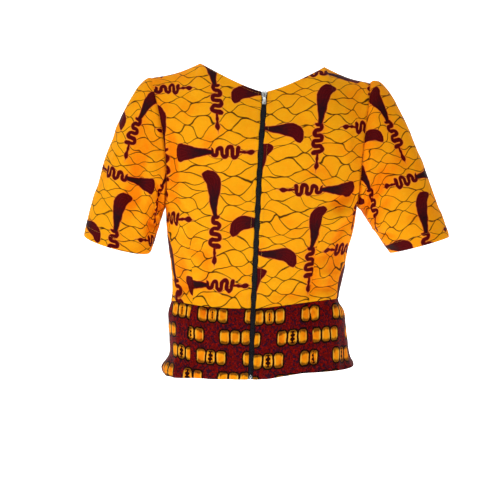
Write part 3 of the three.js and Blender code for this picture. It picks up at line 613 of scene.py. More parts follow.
# (round0, along0, round1, along1, width, rise); round 0 is under the arm, 0.5 on top
sleeveFolds = {
    "left": [
        (0.3, 0.2, 0.24, 0.72, 0.045, -5),
        (0.22, 0.25, 0.16, 0.8, 0.045, 4),
        (0.08, 0.1, 0.12, 0.75, 0.04, -5),
        (0.9, 0.1, 0.86, 0.75, 0.045, -5),
        (0.74, 0.25, 0.78, 0.8, 0.045, 4),
    ],
    "right": [
        (0.04, 0.15, 0.27, 0.42, 0.04, -5),
        (0.05, 0.45, 0.2, 0.7, 0.04, 5),
        (0.1, 0.1, 0.33, 0.2, 0.04, 4),
        (0.92, 0.12, 0.74, 0.4, 0.045, -5),
        (0.93, 0.4, 0.82, 0.72, 0.045, 4),
    ],
}
sleeveCreases = {
    "left": [
        (0.04, 0.12, 0.2, 0.3, 0.02, -3),
        (0.03, 0.3, 0.17, 0.42, 0.02, 2.6),
        (0.03, 0.45, 0.15, 0.62, 0.018, -2.4),
        (0.36, 0.1, 0.33, 0.5, 0.028, -2),
        (0.42, 0.3, 0.36, 0.8, 0.03, 2),
        (0.18, 0.5, 0.3, 0.62, 0.022, -2),
        (0.64, 0.12, 0.66, 0.6, 0.03, -2.4),
        (0.96, 0.15, 0.84, 0.3, 0.02, -3),
        (0.97, 0.4, 0.86, 0.55, 0.02, -2.4),
    ],
    "right": [
        (0.03, 0.1, 0.19, 0.14, 0.018, -3),
        (0.03, 0.28, 0.22, 0.3, 0.018, 2.6),
        (0.04, 0.36, 0.24, 0.56, 0.02, -3),
        (0.03, 0.6, 0.16, 0.82, 0.02, -2.2),
        (0.38, 0.12, 0.33, 0.6, 0.028, -2),
        (0.44, 0.3, 0.4, 0.8, 0.03, 1.8),
        (0.2, 0.72, 0.34, 0.8, 0.02, -1.8),
        (0.62, 0.12, 0.66, 0.6, 0.03, -2.4),
        (0.96, 0.2, 0.82, 0.3, 0.02, -3),
        (0.97, 0.5, 0.86, 0.66, 0.02, 2.4),
    ],
}


def makeSleeve(side, back, frontHalf):
    cut, sign = sleeves[side["name"]], side["sign"]
    first = back["lastLow"]
    loop = np.concatenate([back["base"][first:, -1], frontHalf["base"][-2:first:-1, -1]])
    facing = np.concatenate([back["baseNormals"][first:, -1], frontHalf["baseNormals"][-2:first:-1, -1]])
    top = len(back["base"]) - 1 - first
    for k in (0, top):
        facing[k, 1] = 0
    facing = unit(facing)
    lengths = lengthOf(np.roll(loop, -1, axis=0) - loop)
    run = np.concatenate([[0], np.cumsum(lengths)])
    shares = np.where(np.arange(len(loop)) <= top, 0.5 * run[:-1] / run[top],
                      0.5 + 0.5 * (run[:-1] - run[top]) / (run[-1] - run[top]))
    tangent = np.roll(loop, -1, axis=0) - np.roll(loop, 1, axis=0)
    away = -sign * unit(np.cross(facing, tangent))
    turn = shares * 2 * np.pi
    start = loop + away * 0.05 + facing * (0.3 * np.maximum(0, np.cos(turn)))[:, None]
    end = np.array(cut["cuffCentre"]) + np.outer(np.cos(turn) * cut["cuffHalfChord"], cut["cuffChord"])
    end[:, 1] -= cut["cuffHalfDepth"] * np.sin(turn)
    end[:, 2] -= cut["cuffDip"] * np.sin(turn)
    span = lengthOf(end - start)[:, None]
    overTop = (1 - np.cos(turn)) / 2

    def direction(under, over, y):
        return points(sign * mix(under[0], over[0], overTop), y, mix(under[1], over[1], overTop)) * span

    leave = direction(cut["underStart"], cut["topStart"], -0.2 * np.sin(turn))
    arrive = direction(cut["underEnd"], cut["topEnd"], 0.05 + 0 * turn)
    along = edgeRows(mesh["sleeve"])[:, None, None]
    base = hermite(start[None], leave[None], end[None], arrive[None], along)
    normals = gridNormals(base, -sign, closed=True)
    along = along[..., 0]
    fade = smooth(along, 0, 0.12) * (1 - 0.5 * smooth(along, 0.85, 1))
    stretch = 0.6

    def onTube(folds):
        return [(a0, l0 * stretch, a1, l1 * stretch, w, r) for a0, l0, a1, l1, w, r in folds]

    around = shares[None, :] + 0 * along
    rise = 1.3 * fade * foldRise(around, along * stretch, onTube(sleeveFolds[side["name"]]))
    fromArm = steps(base, 0)
    fromCuff = fromArm[-1:, :] - fromArm
    free = awayFrom("sleeve", armhole=fromArm, cuff=fromCuff)
    creases = foldRise(around, along * stretch, onTube(sleeveCreases[side["name"]]), (0.03, 0.97))
    rise = rise + cloth["creaseShare"] * free * creases
    uneven = cloth["waveHeight"] * softNoise(base, 48, 20 + sign)
    uneven = uneven + 1.3 * cloth["ruckHeight"] * softNoise(base, 17, 30 + sign)
    rise = rise + free * uneven
    # painted shade: deeper on the outer side of the sleeve and under the arm, besides the folds
    under, over = cloth["underShade"], cloth["outerShade"][side["name"]]
    fold = foldShade(rise, fromArm) + under * (1 - overTop) + over * overTop ** 2
    ring = steps(np.concatenate([base, base[:, :1]], axis=1), 1)
    gathered = pucker(fromArm, ring[:1, :-1] + 0 * fromArm, "sleeve")
    rise = rise + gathered * smooth(fromArm, 0, rippleRoom["armhole"])
    rise = rise + roll(fromArm, "armhole") + roll(fromCuff, "cuff")
    rise = rise + stitchGroove(fromCuff, cloth["cuffStitch"])
    rise = rise + 0.5 * np.exp(-((fromArm - 6) / 4) ** 2)
    outer = base + normals * rise[..., None]
    middle = int(np.argmin(np.abs(shares - 0.25)))
    return {
        "side": side, "outer": outer, "normals": gridNormals(outer, -sign, closed=True),
        "sign": -sign, "u": ring - ring[:, middle:middle + 1],
        "v": np.pad(fromCuff, ((0, 0), (0, 1)), "wrap"), "fold": fold,
    }


def placed(name, data):
    thing = bpy.data.objects.new(name, data)
    scene.collection.objects.link(thing)
    return thing


def makeMesh(name, verts, faces, uvs=None, slots=None):
    data = bpy.data.meshes.new(name)
    data.from_pydata((np.asarray(verts) * mm).tolist(), [], faces)
    if uvs is not None:
        layer = data.uv_layers.new(name="print")
        layer.data.foreach_set("uv", (np.asarray(uvs, dtype=float) * mm).ravel())
    if slots is not None:
        data.polygons.foreach_set("material_index", slots)
    data.polygons.foreach_set("use_smooth", [True] * len(data.polygons))
    data.set_sharp_from_angle(angle=math.radians(50))
    data.update()
    return placed(name, data)


def wallPiece(name, part, materials, closed=False, thickness=None):
    # a closed thin wall: outer grid, inner grid and a rim along every free edge
    outer, normals, sign = part["outer"], part["normals"], part["sign"]
    inner = outer - normals * (thickness or cloth["thickness"])
    rows, columns = outer.shape[:2]
    verts = np.concatenate([outer.reshape(-1, 3), inner.reshape(-1, 3)])
    count = rows * columns
    lastColumn = columns if closed else columns - 1
    u, v = part["u"], part["v"]
    faces, uvs, slots = [], [], []

    def corner(i, j, layer):
        return layer * count + i * columns + j % columns

    def add(corners, slot):
        # corners are (row, column, layer)
        order = corners if sign > 0 else corners[::-1]
        faces.append([corner(*c) for c in order])
        uvs.extend((u[c[0], c[1]], v[c[0], c[1]]) for c in order)
        slots.append(slot)

    for i in range(rows - 1):
        for j in range(lastColumn):
            add([(i, j, 0), (i, j + 1, 0), (i + 1, j + 1, 0), (i + 1, j, 0)], 0)
            add([(i + 1, j, 1), (i + 1, j + 1, 1), (i, j + 1, 1), (i, j, 1)], 1)
    for j in range(lastColumn):
        add([(0, j + 1, 0), (0, j, 0), (0, j, 1), (0, j + 1, 1)], 0)
        add([(rows - 1, j, 0), (rows - 1, j + 1, 0), (rows - 1, j + 1, 1), (rows - 1, j, 1)], 0)
    if not closed:
        for i in range(rows - 1):
            add([(i, 0, 0), (i + 1, 0, 0), (i + 1, 0, 1), (i, 0, 1)], 0)
            last = columns - 1
            add([(i + 1, last, 0), (i, last, 0), (i, last, 1), (i + 1, last, 1)], 0)
    piece = makeMesh(name, verts, faces, uvs, slots)
    # painted shade per point, which the cloth materials darken their colour by
    if "fold" in part:
        shade = piece.data.attributes.new("fold", "FLOAT", "POINT")
        shade.data.foreach_set("value", np.tile(part["fold"].ravel(), 2))
    for material in materials:
        piece.data.materials.append(material)
    return piece


class Wire:
    # a socket of a node tree that can be added, multiplied and so on
    def __init__(self, tree, socket):
        self.tree, self.socket = tree, socket

    def __add__(self, other):
        return maths(self.tree, "ADD", self, other)

    __radd__ = __add__

    def __sub__(self, other):
        return maths(self.tree, "SUBTRACT", self, other)

    def __rsub__(self, other):
        return maths(self.tree, "SUBTRACT", other, self)

    def __mul__(self, other):
        return maths(self.tree, "MULTIPLY", self, other)

    __rmul__ = __mul__

    def __truediv__(self, other):
        return maths(self.tree, "DIVIDE", self, other)


def plug(tree, socket, value):
    if isinstance(value, Wire):
        tree.links.new(value.socket, socket)
    elif value is not None:
        socket.default_value = value


def feed(tree, node, values):
    # sets or links the sockets of a node, by name or number
    for label, value in values.items():
        plug(tree, node.inputs[label], value)


def addNode(tree, kind, **settings):
    node = tree.nodes.new(kind)
    for name, value in settings.items():
        setattr(node, name, value)
    return node


def maths(tree, operation, *values):
    node = addNode(tree, "ShaderNodeMath", operation=operation)
    for socket, value in zip(node.inputs, values):
        plug(tree, socket, value)
    return Wire(tree, node.outputs[0])


def one(wire, operation, *others):
    return maths(wire.tree, operation, wire, *others)


def floorOf(wire):
    return one(wire, "FLOOR")


def wrapped(wire, size):
    return one(wire, "FLOORED_MODULO", size)


def size(wire):
    return one(wire, "ABSOLUTE")


def root(wire):
    return one(wire, "SQRT")


def lowest(wire, other):
    return one(wire, "MINIMUM", other)


def highest(wire, other):
    return one(wire, "MAXIMUM", other)


def wave(wire, length, phase=0.0, cosine=False):
    angle = wire * (2 * math.pi / length) + phase
    return one(angle, "COSINE" if cosine else "SINE")


def ramp(wire, low, high, start=0.0, end=1.0):
    # soft step from start to end while the value goes from low to high
    tree = wire.tree
    node = addNode(tree, "ShaderNodeMapRange", interpolation_type="SMOOTHSTEP")
    flip = low > high
    for name, value in zip(("Value", "From Min", "From Max", "To Min", "To Max"),
                           (wire, high if flip else low, low if flip else high,
                            end if flip else start, start if flip else end)):
        plug(tree, node.inputs[name], value)
    return Wire(tree, node.outputs["Result"])


def curve(wire, low, high, stops, base, span):
    # a drawn curve through (place, value) stops; values lie within base and base + span
    tree = wire.tree
    node = addNode(tree, "ShaderNodeFloatCurve")
    line = node.mapping.curves[0]
    scaled = [((x - low) / (high - low), (y - base) / span) for x, y in stops]
    while len(line.points) < len(scaled):
        line.points.new(0.5, 0.5)
    for point, place in zip(line.points, scaled):
        point.location = place
        point.handle_type = "AUTO_CLAMPED"
    node.mapping.update()
    plug(tree, node.inputs["Value"], (wire - low) / (high - low))
    return Wire(tree, node.outputs["Value"]) * span + base


def parts(tree, vector):
    node = addNode(tree, "ShaderNodeSeparateXYZ")
    plug(tree, node.inputs[0], vector)
    return Wire(tree, node.outputs[0]), Wire(tree, node.outputs[1])


def joinParts(tree, x, y, z=0.0):
    node = addNode(tree, "ShaderNodeCombineXYZ")
    for socket, value in zip(node.inputs, (x, y, z)):
        plug(tree, socket, value)
    return Wire(tree, node.outputs[0])


def noiseAt(tree, vector, scale, detail=2.0):
    node = addNode(tree, "ShaderNodeTexNoise")
    feed(tree, node, {"Vector": vector, "Scale": scale, "Detail": detail})
    return Wire(tree, node.outputs["Fac"])


def mottle(tree, x, y, layer, size, detail=1.0):
    # smooth noise of about this size in millimetres; its layers differ from each other
    return noiseAt(tree, joinParts(tree, x, y, layer), 1 / size, detail)


def cells(tree, vector, scale, feature="F1", output="Distance"):
    node = addNode(tree, "ShaderNodeTexVoronoi", feature=feature)
    feed(tree, node, {"Vector": vector, "Scale": scale})
    return Wire(tree, node.outputs[output])


def tint(tree, factor, first, second, blend="MIX"):
    node = addNode(tree, "ShaderNodeMix", data_type="RGBA", blend_type=blend)
    plug(tree, node.inputs[0], factor)
    for socket, value in ((node.inputs[6], first), (node.inputs[7], second)):
        plug(tree, socket, value if isinstance(value, Wire) else (*value, 1.0))
    return Wire(tree, node.outputs[2])


def pick(tree, factor, first, second):
    node = addNode(tree, "ShaderNodeMix", data_type="FLOAT")
    feed(tree, node, {0: factor, 2: first, 3: second})
    return Wire(tree, node.outputs[0])


# kinds of the named sockets, where they aren't plain values
socketKinds = {
    "Point": "NodeSocketVector", "Color": "NodeSocketColor", "Geometry": "NodeSocketGeometry",
    "Seed": "NodeSocketInt", "Material": "NodeSocketMaterial",
}


def openGroup(name, treeKind, inputs, outputs):
    tree = bpy.data.node_groups.new(name, treeKind)
    for labels, way in ((inputs, "INPUT"), (outputs, "OUTPUT")):
        for label in labels:
            kind = socketKinds.get(label, "NodeSocketFloat")
            tree.interface.new_socket(label, in_out=way, socket_type=kind)
    return tree, addNode(tree, "NodeGroupInput"), addNode(tree, "NodeGroupOutput")


def newGroup(name, inputs, outputs):
    tree, source, target = openGroup(name, "ShaderNodeTree", inputs, outputs)
    return tree, {label: Wire(tree, source.outputs[label]) for label in inputs}, target


def useGroup(tree, group, **values):
    node = addNode(tree, "ShaderNodeGroup", node_tree=group)
    feed(tree, node, values)
    return {socket.name: Wire(tree, socket) for socket in node.outputs}


def srgb(red, green, blue):
    def linear(value):
        value /= 255
        return value / 12.92 if value <= 0.04045 else ((value + 0.055) / 1.055) ** 2.4
    return linear(red), linear(green), linear(blue)


waxPrint = {
    "columnPitch": 105.0,   # between the upright drops
    "repeat": 221.0,        # height of the repeat
    "rowShift": -25.0,      # head of a lying drop, from the upright one's axis
    "rowDrop": -81.0,       # its row, from the upright one's head
    "reach": 37.0,          # room on the near side of a drop's axis
    "lead": 30.0,           # room before a drop's head
    "evenLean": 0.92,       # how much straighter the lying drops of every second row are
    "lyingShare": 1.11,     # how much shorter the lying drops are
    "waver": 2.0,
    "waverSize": 15.0,
    "netHeight": 12.4,
    "netSwing": 6.2,
    "netLength": 61.0,
    "netWarp": 30.0,
    "warpSize": 62.0,
    "netShake": 4.0,
    "shakeSize": 17.0,
    "netLine": 0.84,
    "yellow": srgb(253, 170, 16),
    "bright": srgb(255, 184, 34),
    "orange": srgb(255, 146, 6),
    "netColor": srgb(78, 48, 6),
    "halo": srgb(246, 140, 60),
    "rim": srgb(124, 10, 6),
    "drop": srgb(80, 6, 12),
    "core": srgb(32, 14, 22),
    "echo": srgb(132, 24, 26),
    "faded": srgb(236, 190, 110),
}
# a drop with its tail: stops of the middle line, the half width and the winding's swing
# at distances from its head
dropMiddle = [(0, 14), (4, 15), (9, 13.6), (13, 11.4), (18, 8.3), (24, 6), (34, 4.9), (50, 4.6), (64, 3.8),
              (74, 2), (80, 0), (170, 0)]
dropHalf = [(0, 5), (2, 9), (4, 12), (9, 15), (13, 15.4), (18, 14.2), (24, 12.7), (34, 11), (44, 8.8),
            (55, 6.8), (66, 5), (74, 4), (120, 2.6), (132, 2.2), (138, 3), (142, 2.2), (150, 4.4), (155, 2.8),
            (160, 0.1), (170, 0)]
dropSwing = [(0, 5), (72, 5), (90, 6.2), (105, 7.6), (118, 8.8), (126, 8), (132, 5), (170, 5)]
winding = {"first": 74.0, "last": 130.0, "spacing": 9.6, "halfStroke": 3.8}
dropSpan, dropTip = 170, 162.0


def makeDropGroup():
    group, put, out = newGroup("drop motif", ("Across", "Along", "Lean"), ("Distance", "Core"))
    across, along = put["Across"], put["Along"]
    offAxis = across - curve(along, 0, dropSpan, dropMiddle, 0, 20) * put["Lean"]
    straight = size(offAxis) - curve(along, 0, dropSpan, dropHalf, 0, 20)
    # strokes across the tail, joined by round turns on either side
    spacing, turnRadius = winding["spacing"], winding["spacing"] / 2
    onSide = 1.0 - wrapped(floorOf(along / spacing), 2.0) * 2.0
    fromTurn = size(wrapped(along, spacing) - turnRadius)
    fromTurn = pick(group, maths(group, "GREATER_THAN", offAxis * onSide, 0.0), spacing - fromTurn, fromTurn)
    past = highest(size(offAxis) - (curve(along, 0, dropSpan, dropSwing, 0, 20) - turnRadius), 0.0)
    winds = size(root(past * past + fromTurn * fromTurn) - turnRadius) - winding["halfStroke"]
    winds = highest(winds, highest(winding["first"] - along, along - winding["last"]))
    straight = highest(straight, lowest(along - (winding["first"] + 3), winding["last"] - 2 - along))
    distance = lowest(straight, winds)
    distance = highest(highest(distance, along * -1.0), along - dropTip)
    feed(group, out, {"Distance": distance, "Core": ramp(along, 4, 64) * ramp(along, 82, 72)})
    return group


def makeNetGroup():
    # two sets of waved lines that touch, warped into an uneven net
    group, put, out = newGroup("wax net", ("Point",), ("Line", "Knot"))
    look = waxPrint
    x, y = parts(group, put["Point"])
    sideways = mottle(group, x, y, 3.0, look["warpSize"]) - 0.5
    upward = mottle(group, x, y, 41.0, look["warpSize"]) - 0.5
    shaky = mottle(group, x, y, 77.0, look["shakeSize"]) - 0.5
    x = x + sideways * (2.4 * look["netWarp"])
    y = y + upward * (1.6 * look["netWarp"]) + shaky * look["netShake"]
    height, swing, length = look["netHeight"], look["netSwing"], look["netLength"]
    up = wave(x, length, 0.0, True)
    slope = wave(x, length) * (swing * 2 * math.pi / length)
    steep = root(slope * slope + 1.0)
    even = size(wrapped(y - up * swing + height, 2 * height) - height) / steep
    odd = size(wrapped(y + up * swing, 2 * height) - height) / steep
    near, far = lowest(even, odd), highest(even, odd)
    line = ramp(near, look["netLine"] * 1.5, look["netLine"] * 0.5)
    feed(group, out, {"Line": line, "Knot": ramp(near + far, 4.5, 1.5)})
    return group


def makeWeaveGroup():
    # plain weave of fine yarns, with slubs; Pitch in millimetres
    group, put, out = newGroup("plain weave", ("Point", "Pitch"), ("Height", "Slub"))
    x, y = parts(group, put["Point"])
    turn = 2 * math.pi
    warp = one(x / put["Pitch"] * turn, "SINE")
    weft = one(y / put["Pitch"] * turn, "SINE")
    slub = noiseAt(group, joinParts(group, x * 0.12, y * 2.2), 0.8, 2.0) - 0.5
    feed(group, out, {"Height": warp * weft * 0.5 + slub * 0.8, "Slub": slub})
    return group


def makeWaxGroup(dropGroup, netGroup):
    tree, put, out = newGroup("wax print", ("Point", "Fade"), ("Color", "Dye"))
    look, point = waxPrint, put["Point"]
    x, y = parts(tree, point)
    near = mottle(tree, x, y, 5.0, look["waverSize"]) - 0.5
    other = mottle(tree, x, y, 60.0, look["waverSize"]) - 0.5
    wx, wy = x + near * look["waver"] * 2, y + other * look["waver"] * 2
    pitch, repeat, reach, lead = look["columnPitch"], look["repeat"], look["reach"], look["lead"]
    # upright drops, each second column half a repeat lower
    column = floorOf((wx + reach) / pitch)
    across = wx - column * pitch
    along = wrapped(lead - wy - wrapped(column, 2.0) * (repeat / 2), repeat) - lead
    upright = useGroup(tree, dropGroup, Across=across, Along=along, Lean=1.0)
    # lying drops, each second row half a repeat along
    drop = look["rowDrop"] - wy
    row = floorOf((drop + reach) / (repeat / 2))
    across = drop - row * (repeat / 2)
    along = wrapped(look["rowShift"] + lead - wx + wrapped(row, 2.0) * pitch, pitch * 2) - lead
    along = along * look["lyingShare"]
    # the drops of every second row stand evenly on their axis
    lean = 1.0 - wrapped(row, 2.0) * look["evenLean"]
    lying = useGroup(tree, dropGroup, Across=across, Along=along, Lean=lean)
    isLying = maths(tree, "LESS_THAN", lying["Distance"], upright["Distance"])
    distance = lowest(lying["Distance"], upright["Distance"])
    coreShare = pick(tree, isLying, upright["Core"], lying["Core"])
    # ground colour with patches, net and crackle
    patch = mottle(tree, x, y, 9.0, 46.0, 2.0)
    fine = mottle(tree, x, y, 19.0, 5.0, 3.0)
    ground = tint(tree, ramp(patch, 0.45, 0.8, 0.0, 0.7), look["yellow"], look["orange"])
    ground = tint(tree, ramp(fine, 0.5, 0.8, 0.0, 0.5), ground, look["bright"])
    net = useGroup(tree, netGroup, Point=point)
    vein = cells(tree, joinParts(tree, x + near * 9, y + other * 9), 1 / 14.0, "DISTANCE_TO_EDGE")
    ground = tint(tree, ramp(vein, 0.035, 0.0, 0.0, 0.22), ground, look["orange"])
    worn = ramp(mottle(tree, x, y, 29.0, 24.0, 2.0), 0.3, 0.5, 0.72, 1.0)
    color = tint(tree, net["Line"] * highest(worn, net["Knot"]), ground, look["netColor"])
    # the drops over it
    color = tint(tree, ramp(distance, 2.4, 0.8, 0.0, 0.5), color, look["halo"])
    inside = tint(tree, ramp(distance, -0.6, -1.8), look["rim"], look["drop"])
    ring = ramp(size(wrapped(distance, 4.6) - 2.3), 0.5, 0.0) * ramp(distance, -2.5, -4.0) * (1.0 - coreShare)
    inside = tint(tree, ring * 0.5, inside, look["echo"])
    dark = ramp(distance, -0.8, -2.6) * ramp(coreShare + (fine - 0.5) * 0.8, 0.05, 1.0)
    inside = tint(tree, dark * 0.85, inside, look["core"])
    inside = tint(tree, ramp(fine, 0.55, 0.8, 0.0, 0.35), inside, look["core"])
    shape = ramp(distance, 0.35, -0.35)
    color = tint(tree, shape, color, inside)
    color = tint(tree, put["Fade"], color, look["faded"])
    feed(tree, out, {"Color": color, "Dye": highest(shape, net["Line"] * 0.6)})
    return tree


bandPrint = {
    "rowPitch": 35.5,
    "groupPitch": 84.0,
    "shapePitch": 18.8,
    "halfWidth": 7.7,
    "halfHeight": 11.5,
    "corner": 5.2,
    "waver": 1.5,
    "waverSize": 11.0,
    "grainSize": 2.6,
    "fill": srgb(255, 158, 12),
    "deep": srgb(240, 128, 6),
    "border": srgb(243, 196, 74),
    "outline": srgb(12, 5, 3),
    "slit": srgb(96, 12, 4),
    "ground": srgb(110, 7, 4),
    "navy": srgb(52, 12, 34),
    "red": srgb(138, 12, 5),
    "faded": srgb(150, 90, 70),
}
# half width of the dark figure in a middle shape, at distances from the shape's centre
lobeHalf = [(0, 1.6), (2, 3.8), (4, 4.2), (5.4, 2.6), (6.8, 1.4), (8.6, 2.6), (12, 5.2)]


def makeBandGroup():
    tree, put, out = newGroup("band print", ("Point", "Fade"), ("Color", "Dye"))
    look = bandPrint
    x, y = parts(tree, put["Point"])
    near = mottle(tree, x, y, 5.0, look["waverSize"]) - 0.5
    other = mottle(tree, x, y, 61.0, look["waverSize"]) - 0.5
    wx, wy = x + near * look["waver"] * 2, y + other * look["waver"] * 2
    down = wy * -1.0
    row = floorOf(down / look["rowPitch"])
    ly = down - row * look["rowPitch"] - look["rowPitch"] / 2
    half = look["groupPitch"] / 2
    shifted = wx + wrapped(row, 2.0) * half + half
    inGroup = wrapped(shifted, look["groupPitch"]) - half
    cluster = floorOf(shifted / look["groupPitch"])
    index = lowest(highest(one(inGroup / look["shapePitch"], "ROUND"), -1.0), 1.0)
    lx = inGroup - index * look["shapePitch"]
    corner = look["corner"]
    qx = size(lx) - (look["halfWidth"] - corner)
    qy = size(ly) - (look["halfHeight"] - corner)
    px, py = highest(qx, 0.0), highest(qy, 0.0)
    distance = root(px * px + py * py) + lowest(highest(qx, qy), 0.0) - corner
    # ground of tiny cells
    shade, redness = parts(tree, cells(tree, put["Point"], 1 / look["grainSize"], "F1", "Color"))
    edge = cells(tree, put["Point"], 1 / look["grainSize"], "DISTANCE_TO_EDGE")
    ground = tint(tree, ramp(shade, 0.35, 0.7), look["ground"], look["navy"])
    ground = tint(tree, ramp(redness, 0.6, 0.85), ground, look["red"])
    ground = tint(tree, ramp(edge, 0.1, 0.02, 0.0, 0.55), ground, look["outline"])
    # shapes with hatched corners, a pale border and a dark outline
    streak = ramp(wave(lx + near * 3, 1.7), -0.2, 0.6)
    reach = size(ly) / look["halfHeight"]
    # the dark shading grows to the top and bottom, more so on the side of the next shape
    lopsided = size(lx + index * 2.0 + near * 4) / look["halfWidth"]
    hatch = (streak * 0.5 + 0.6) * ramp(reach + lopsided * 0.22 + other * 0.5, 0.52, 0.88)
    inside = tint(tree, ramp(near + other, -0.2, 0.35), look["fill"], look["deep"])
    inside = tint(tree, lowest(hatch, 1.0), inside, look["outline"])
    border = ramp(size(distance + 1.5), 0.9, 0.3) * (1.0 - ramp(reach, 0.5, 0.8) * 0.95)
    inside = tint(tree, border, inside, look["border"])
    isPlain = wrapped(row + cluster, 2.0) * wrapped(row, 2.0)
    isMiddle = ramp(size(index), 0.6, 0.4) * (1.0 - isPlain)
    slitShape = ramp(size(lx) + size(ly) * 0.2, 2.6, 1.6)
    lobes = ramp(size(lx) - curve(size(ly), 0, 12, lobeHalf, 0, 8), 0.6, -0.5)
    isOdd = lowest(row, 1.0)
    middleDark = pick(tree, isOdd, slitShape * 0.85, lobes)
    eye = pick(tree, isOdd, ramp(size(lx) + size(size(ly) - 4.6), 2.6, 1.4), lobes * 0.85)
    for figure, ink in ((middleDark, look["slit"]), (eye, look["outline"])):
        inside = tint(tree, figure * isMiddle * ramp(distance, -1.0, -2.2), inside, ink)
    color = tint(tree, ramp(distance, 3.4, 1.6), ground, look["outline"])
    shape = ramp(distance, 0.3, -0.4)
    color = tint(tree, shape, color, inside)
    color = tint(tree, put["Fade"], color, look["faded"])
    feed(tree, out, {"Color": color, "Dye": 1.0 - shape})
    return tree


finish = {
    "roughness": (0.62, 0.78),
    "shine": 0.04,
    "weavePitch": 0.42,
    "weaveHeight": 0.05,
    "crumpleHeight": 0.35,
    # colour that multiplies the cloth's colour where shade is painted
    "foldTint": (0.97, 0.6, 0.3),
}


def newMaterial(name):
    material = bpy.data.materials.new(name)
    material.use_nodes = True
    tree = material.node_tree
    shader = tree.nodes["Principled BSDF"]
    return material, tree, shader


def bumped(tree, shader, height, distance):
    bump = addNode(tree, "ShaderNodeBump")
    feed(tree, bump, {"Distance": distance, "Strength": 1.0, "Height": height})
    tree.links.new(bump.outputs["Normal"], shader.inputs["Normal"])


def objectPoint(tree):
    return Wire(tree, addNode(tree, "ShaderNodeTexCoord").outputs["Object"])


def printPoint(tree):
    # the print's own coordinates, in millimetres
    source = addNode(tree, "ShaderNodeUVMap", uv_map="print")
    scale = addNode(tree, "ShaderNodeVectorMath", operation="SCALE")
    tree.links.new(source.outputs["UV"], scale.inputs[0])
    scale.inputs["Scale"].default_value = 1000.0
    return Wire(tree, scale.outputs[0])


def makeClothMaterial(name, printGroup, weaveGroup, fade):
    material, tree, shader = newMaterial(name)
    point = printPoint(tree)
    dyed = useGroup(tree, printGroup, Point=point, Fade=fade)
    weave = useGroup(tree, weaveGroup, Point=point, Pitch=finish["weavePitch"])
    crumple = noiseAt(tree, point, 1 / 7.0, 3.0)
    # painted shade: the cloth's colour is multiplied towards a deep orange by each point's shade, broken up
    # by the crumple noise
    paintedShadeAttribute = addNode(tree, "ShaderNodeAttribute", attribute_name="fold")
    depth = lowest(Wire(tree, paintedShadeAttribute.outputs["Fac"]) * ramp(crumple, 0.2, 0.7, 0.7, 1.1), 1.0)
    color = tint(tree, depth, dyed["Color"], finish["foldTint"], "MULTIPLY")
    shaded = addNode(tree, "ShaderNodeHueSaturation")
    tree.links.new(color.socket, shaded.inputs["Color"])
    plug(tree, shaded.inputs["Value"], ramp(weave["Slub"] + crumple * 0.4, -0.3, 0.6, 0.95, 1.05))
    tree.links.new(shaded.outputs["Color"], shader.inputs["Base Color"])
    rough = ramp(dyed["Dye"] + (crumple - 0.5) * 0.6, 0.0, 1.0, *finish["roughness"][::-1])
    feed(tree, shader, {"Roughness": rough, "Specular IOR Level": finish["shine"]})
    height = weave["Height"] * finish["weaveHeight"] + crumple * finish["crumpleHeight"]
    bumped(tree, shader, height, 0.001)
    return material


def makeTapeMaterial():
    material, tree, shader = newMaterial("zip tape")
    point = printPoint(tree)
    x, y = parts(tree, point)
    rib = wave(x, 0.9) * 0.5 + wave(y + wave(x, 1.8) * 0.2, 0.55) * 0.5
    dust = noiseAt(tree, point, 0.7, 3.0)
    color = tint(tree, ramp(rib + dust, 0.0, 1.4), srgb(8, 8, 10), srgb(26, 27, 32))
    rough = ramp(dust, 0.3, 0.7, 0.75, 0.95)
    feed(tree, shader, {"Base Color": color, "Roughness": rough, "Specular IOR Level": 0.15})
    bumped(tree, shader, rib, 0.00008)
    return material


def makeToothMaterial():
    material, tree, shader = newMaterial("zip teeth")
    speck = noiseAt(tree, objectPoint(tree), 900.0, 3.0)
    color = tint(tree, ramp(speck, 0.4, 0.7), srgb(14, 14, 18), srgb(48, 50, 58))
    rough = ramp(speck, 0.3, 0.7, 0.5, 0.7)
    feed(tree, shader, {"Base Color": color, "Roughness": rough, "Specular IOR Level": 0.12})
    bumped(tree, shader, speck, 0.00004)
    return material


def makeMetalMaterial(name, dark, light):
    material, tree, shader = newMaterial(name)
    point = objectPoint(tree)
    brushed, scratch = noiseAt(tree, point, 700.0, 4.0), noiseAt(tree, point, 2600.0, 2.0)
    color = tint(tree, ramp(brushed, 0.35, 0.7), dark, light)
    rough = ramp(brushed + scratch * 0.3, 0.3, 0.9, 0.2, 0.42)
    feed(tree, shader, {"Base Color": color, "Metallic": 1.0, "Roughness": rough})
    bumped(tree, shader, scratch, 0.00003)
    return material


def makeThreadMaterial(name, dark, light):
    material, tree, shader = newMaterial(name)
    fuzz = noiseAt(tree, objectPoint(tree), 3500.0, 2.0)
    color = tint(tree, ramp(fuzz, 0.3, 0.7), dark, light)
    feed(tree, shader, {"Base Color": color, "Roughness": ramp(fuzz, 0.3, 0.7, 0.55, 0.8)})
    bumped(tree, shader, fuzz, 0.00005)
    return material


print("building materials")
dropGroup, netGroup, weaveGroup = makeDropGroup(), makeNetGroup(), makeWeaveGroup()
waxGroup, bandGroup = makeWaxGroup(dropGroup, netGroup), makeBandGroup()
waxOutside = makeClothMaterial("wax print", waxGroup, weaveGroup, 0.0)
waxInside = makeClothMaterial("wax print reverse", waxGroup, weaveGroup, 0.3)
bandOutside = makeClothMaterial("band print", bandGroup, weaveGroup, 0.0)
bandInside = makeClothMaterial("band print reverse", bandGroup, weaveGroup, 0.3)
tapeFinish, toothFinish = makeTapeMaterial(), makeToothMaterial()
metalFinish = makeMetalMaterial("zip metal", srgb(122, 124, 120), srgb(232, 234, 230))
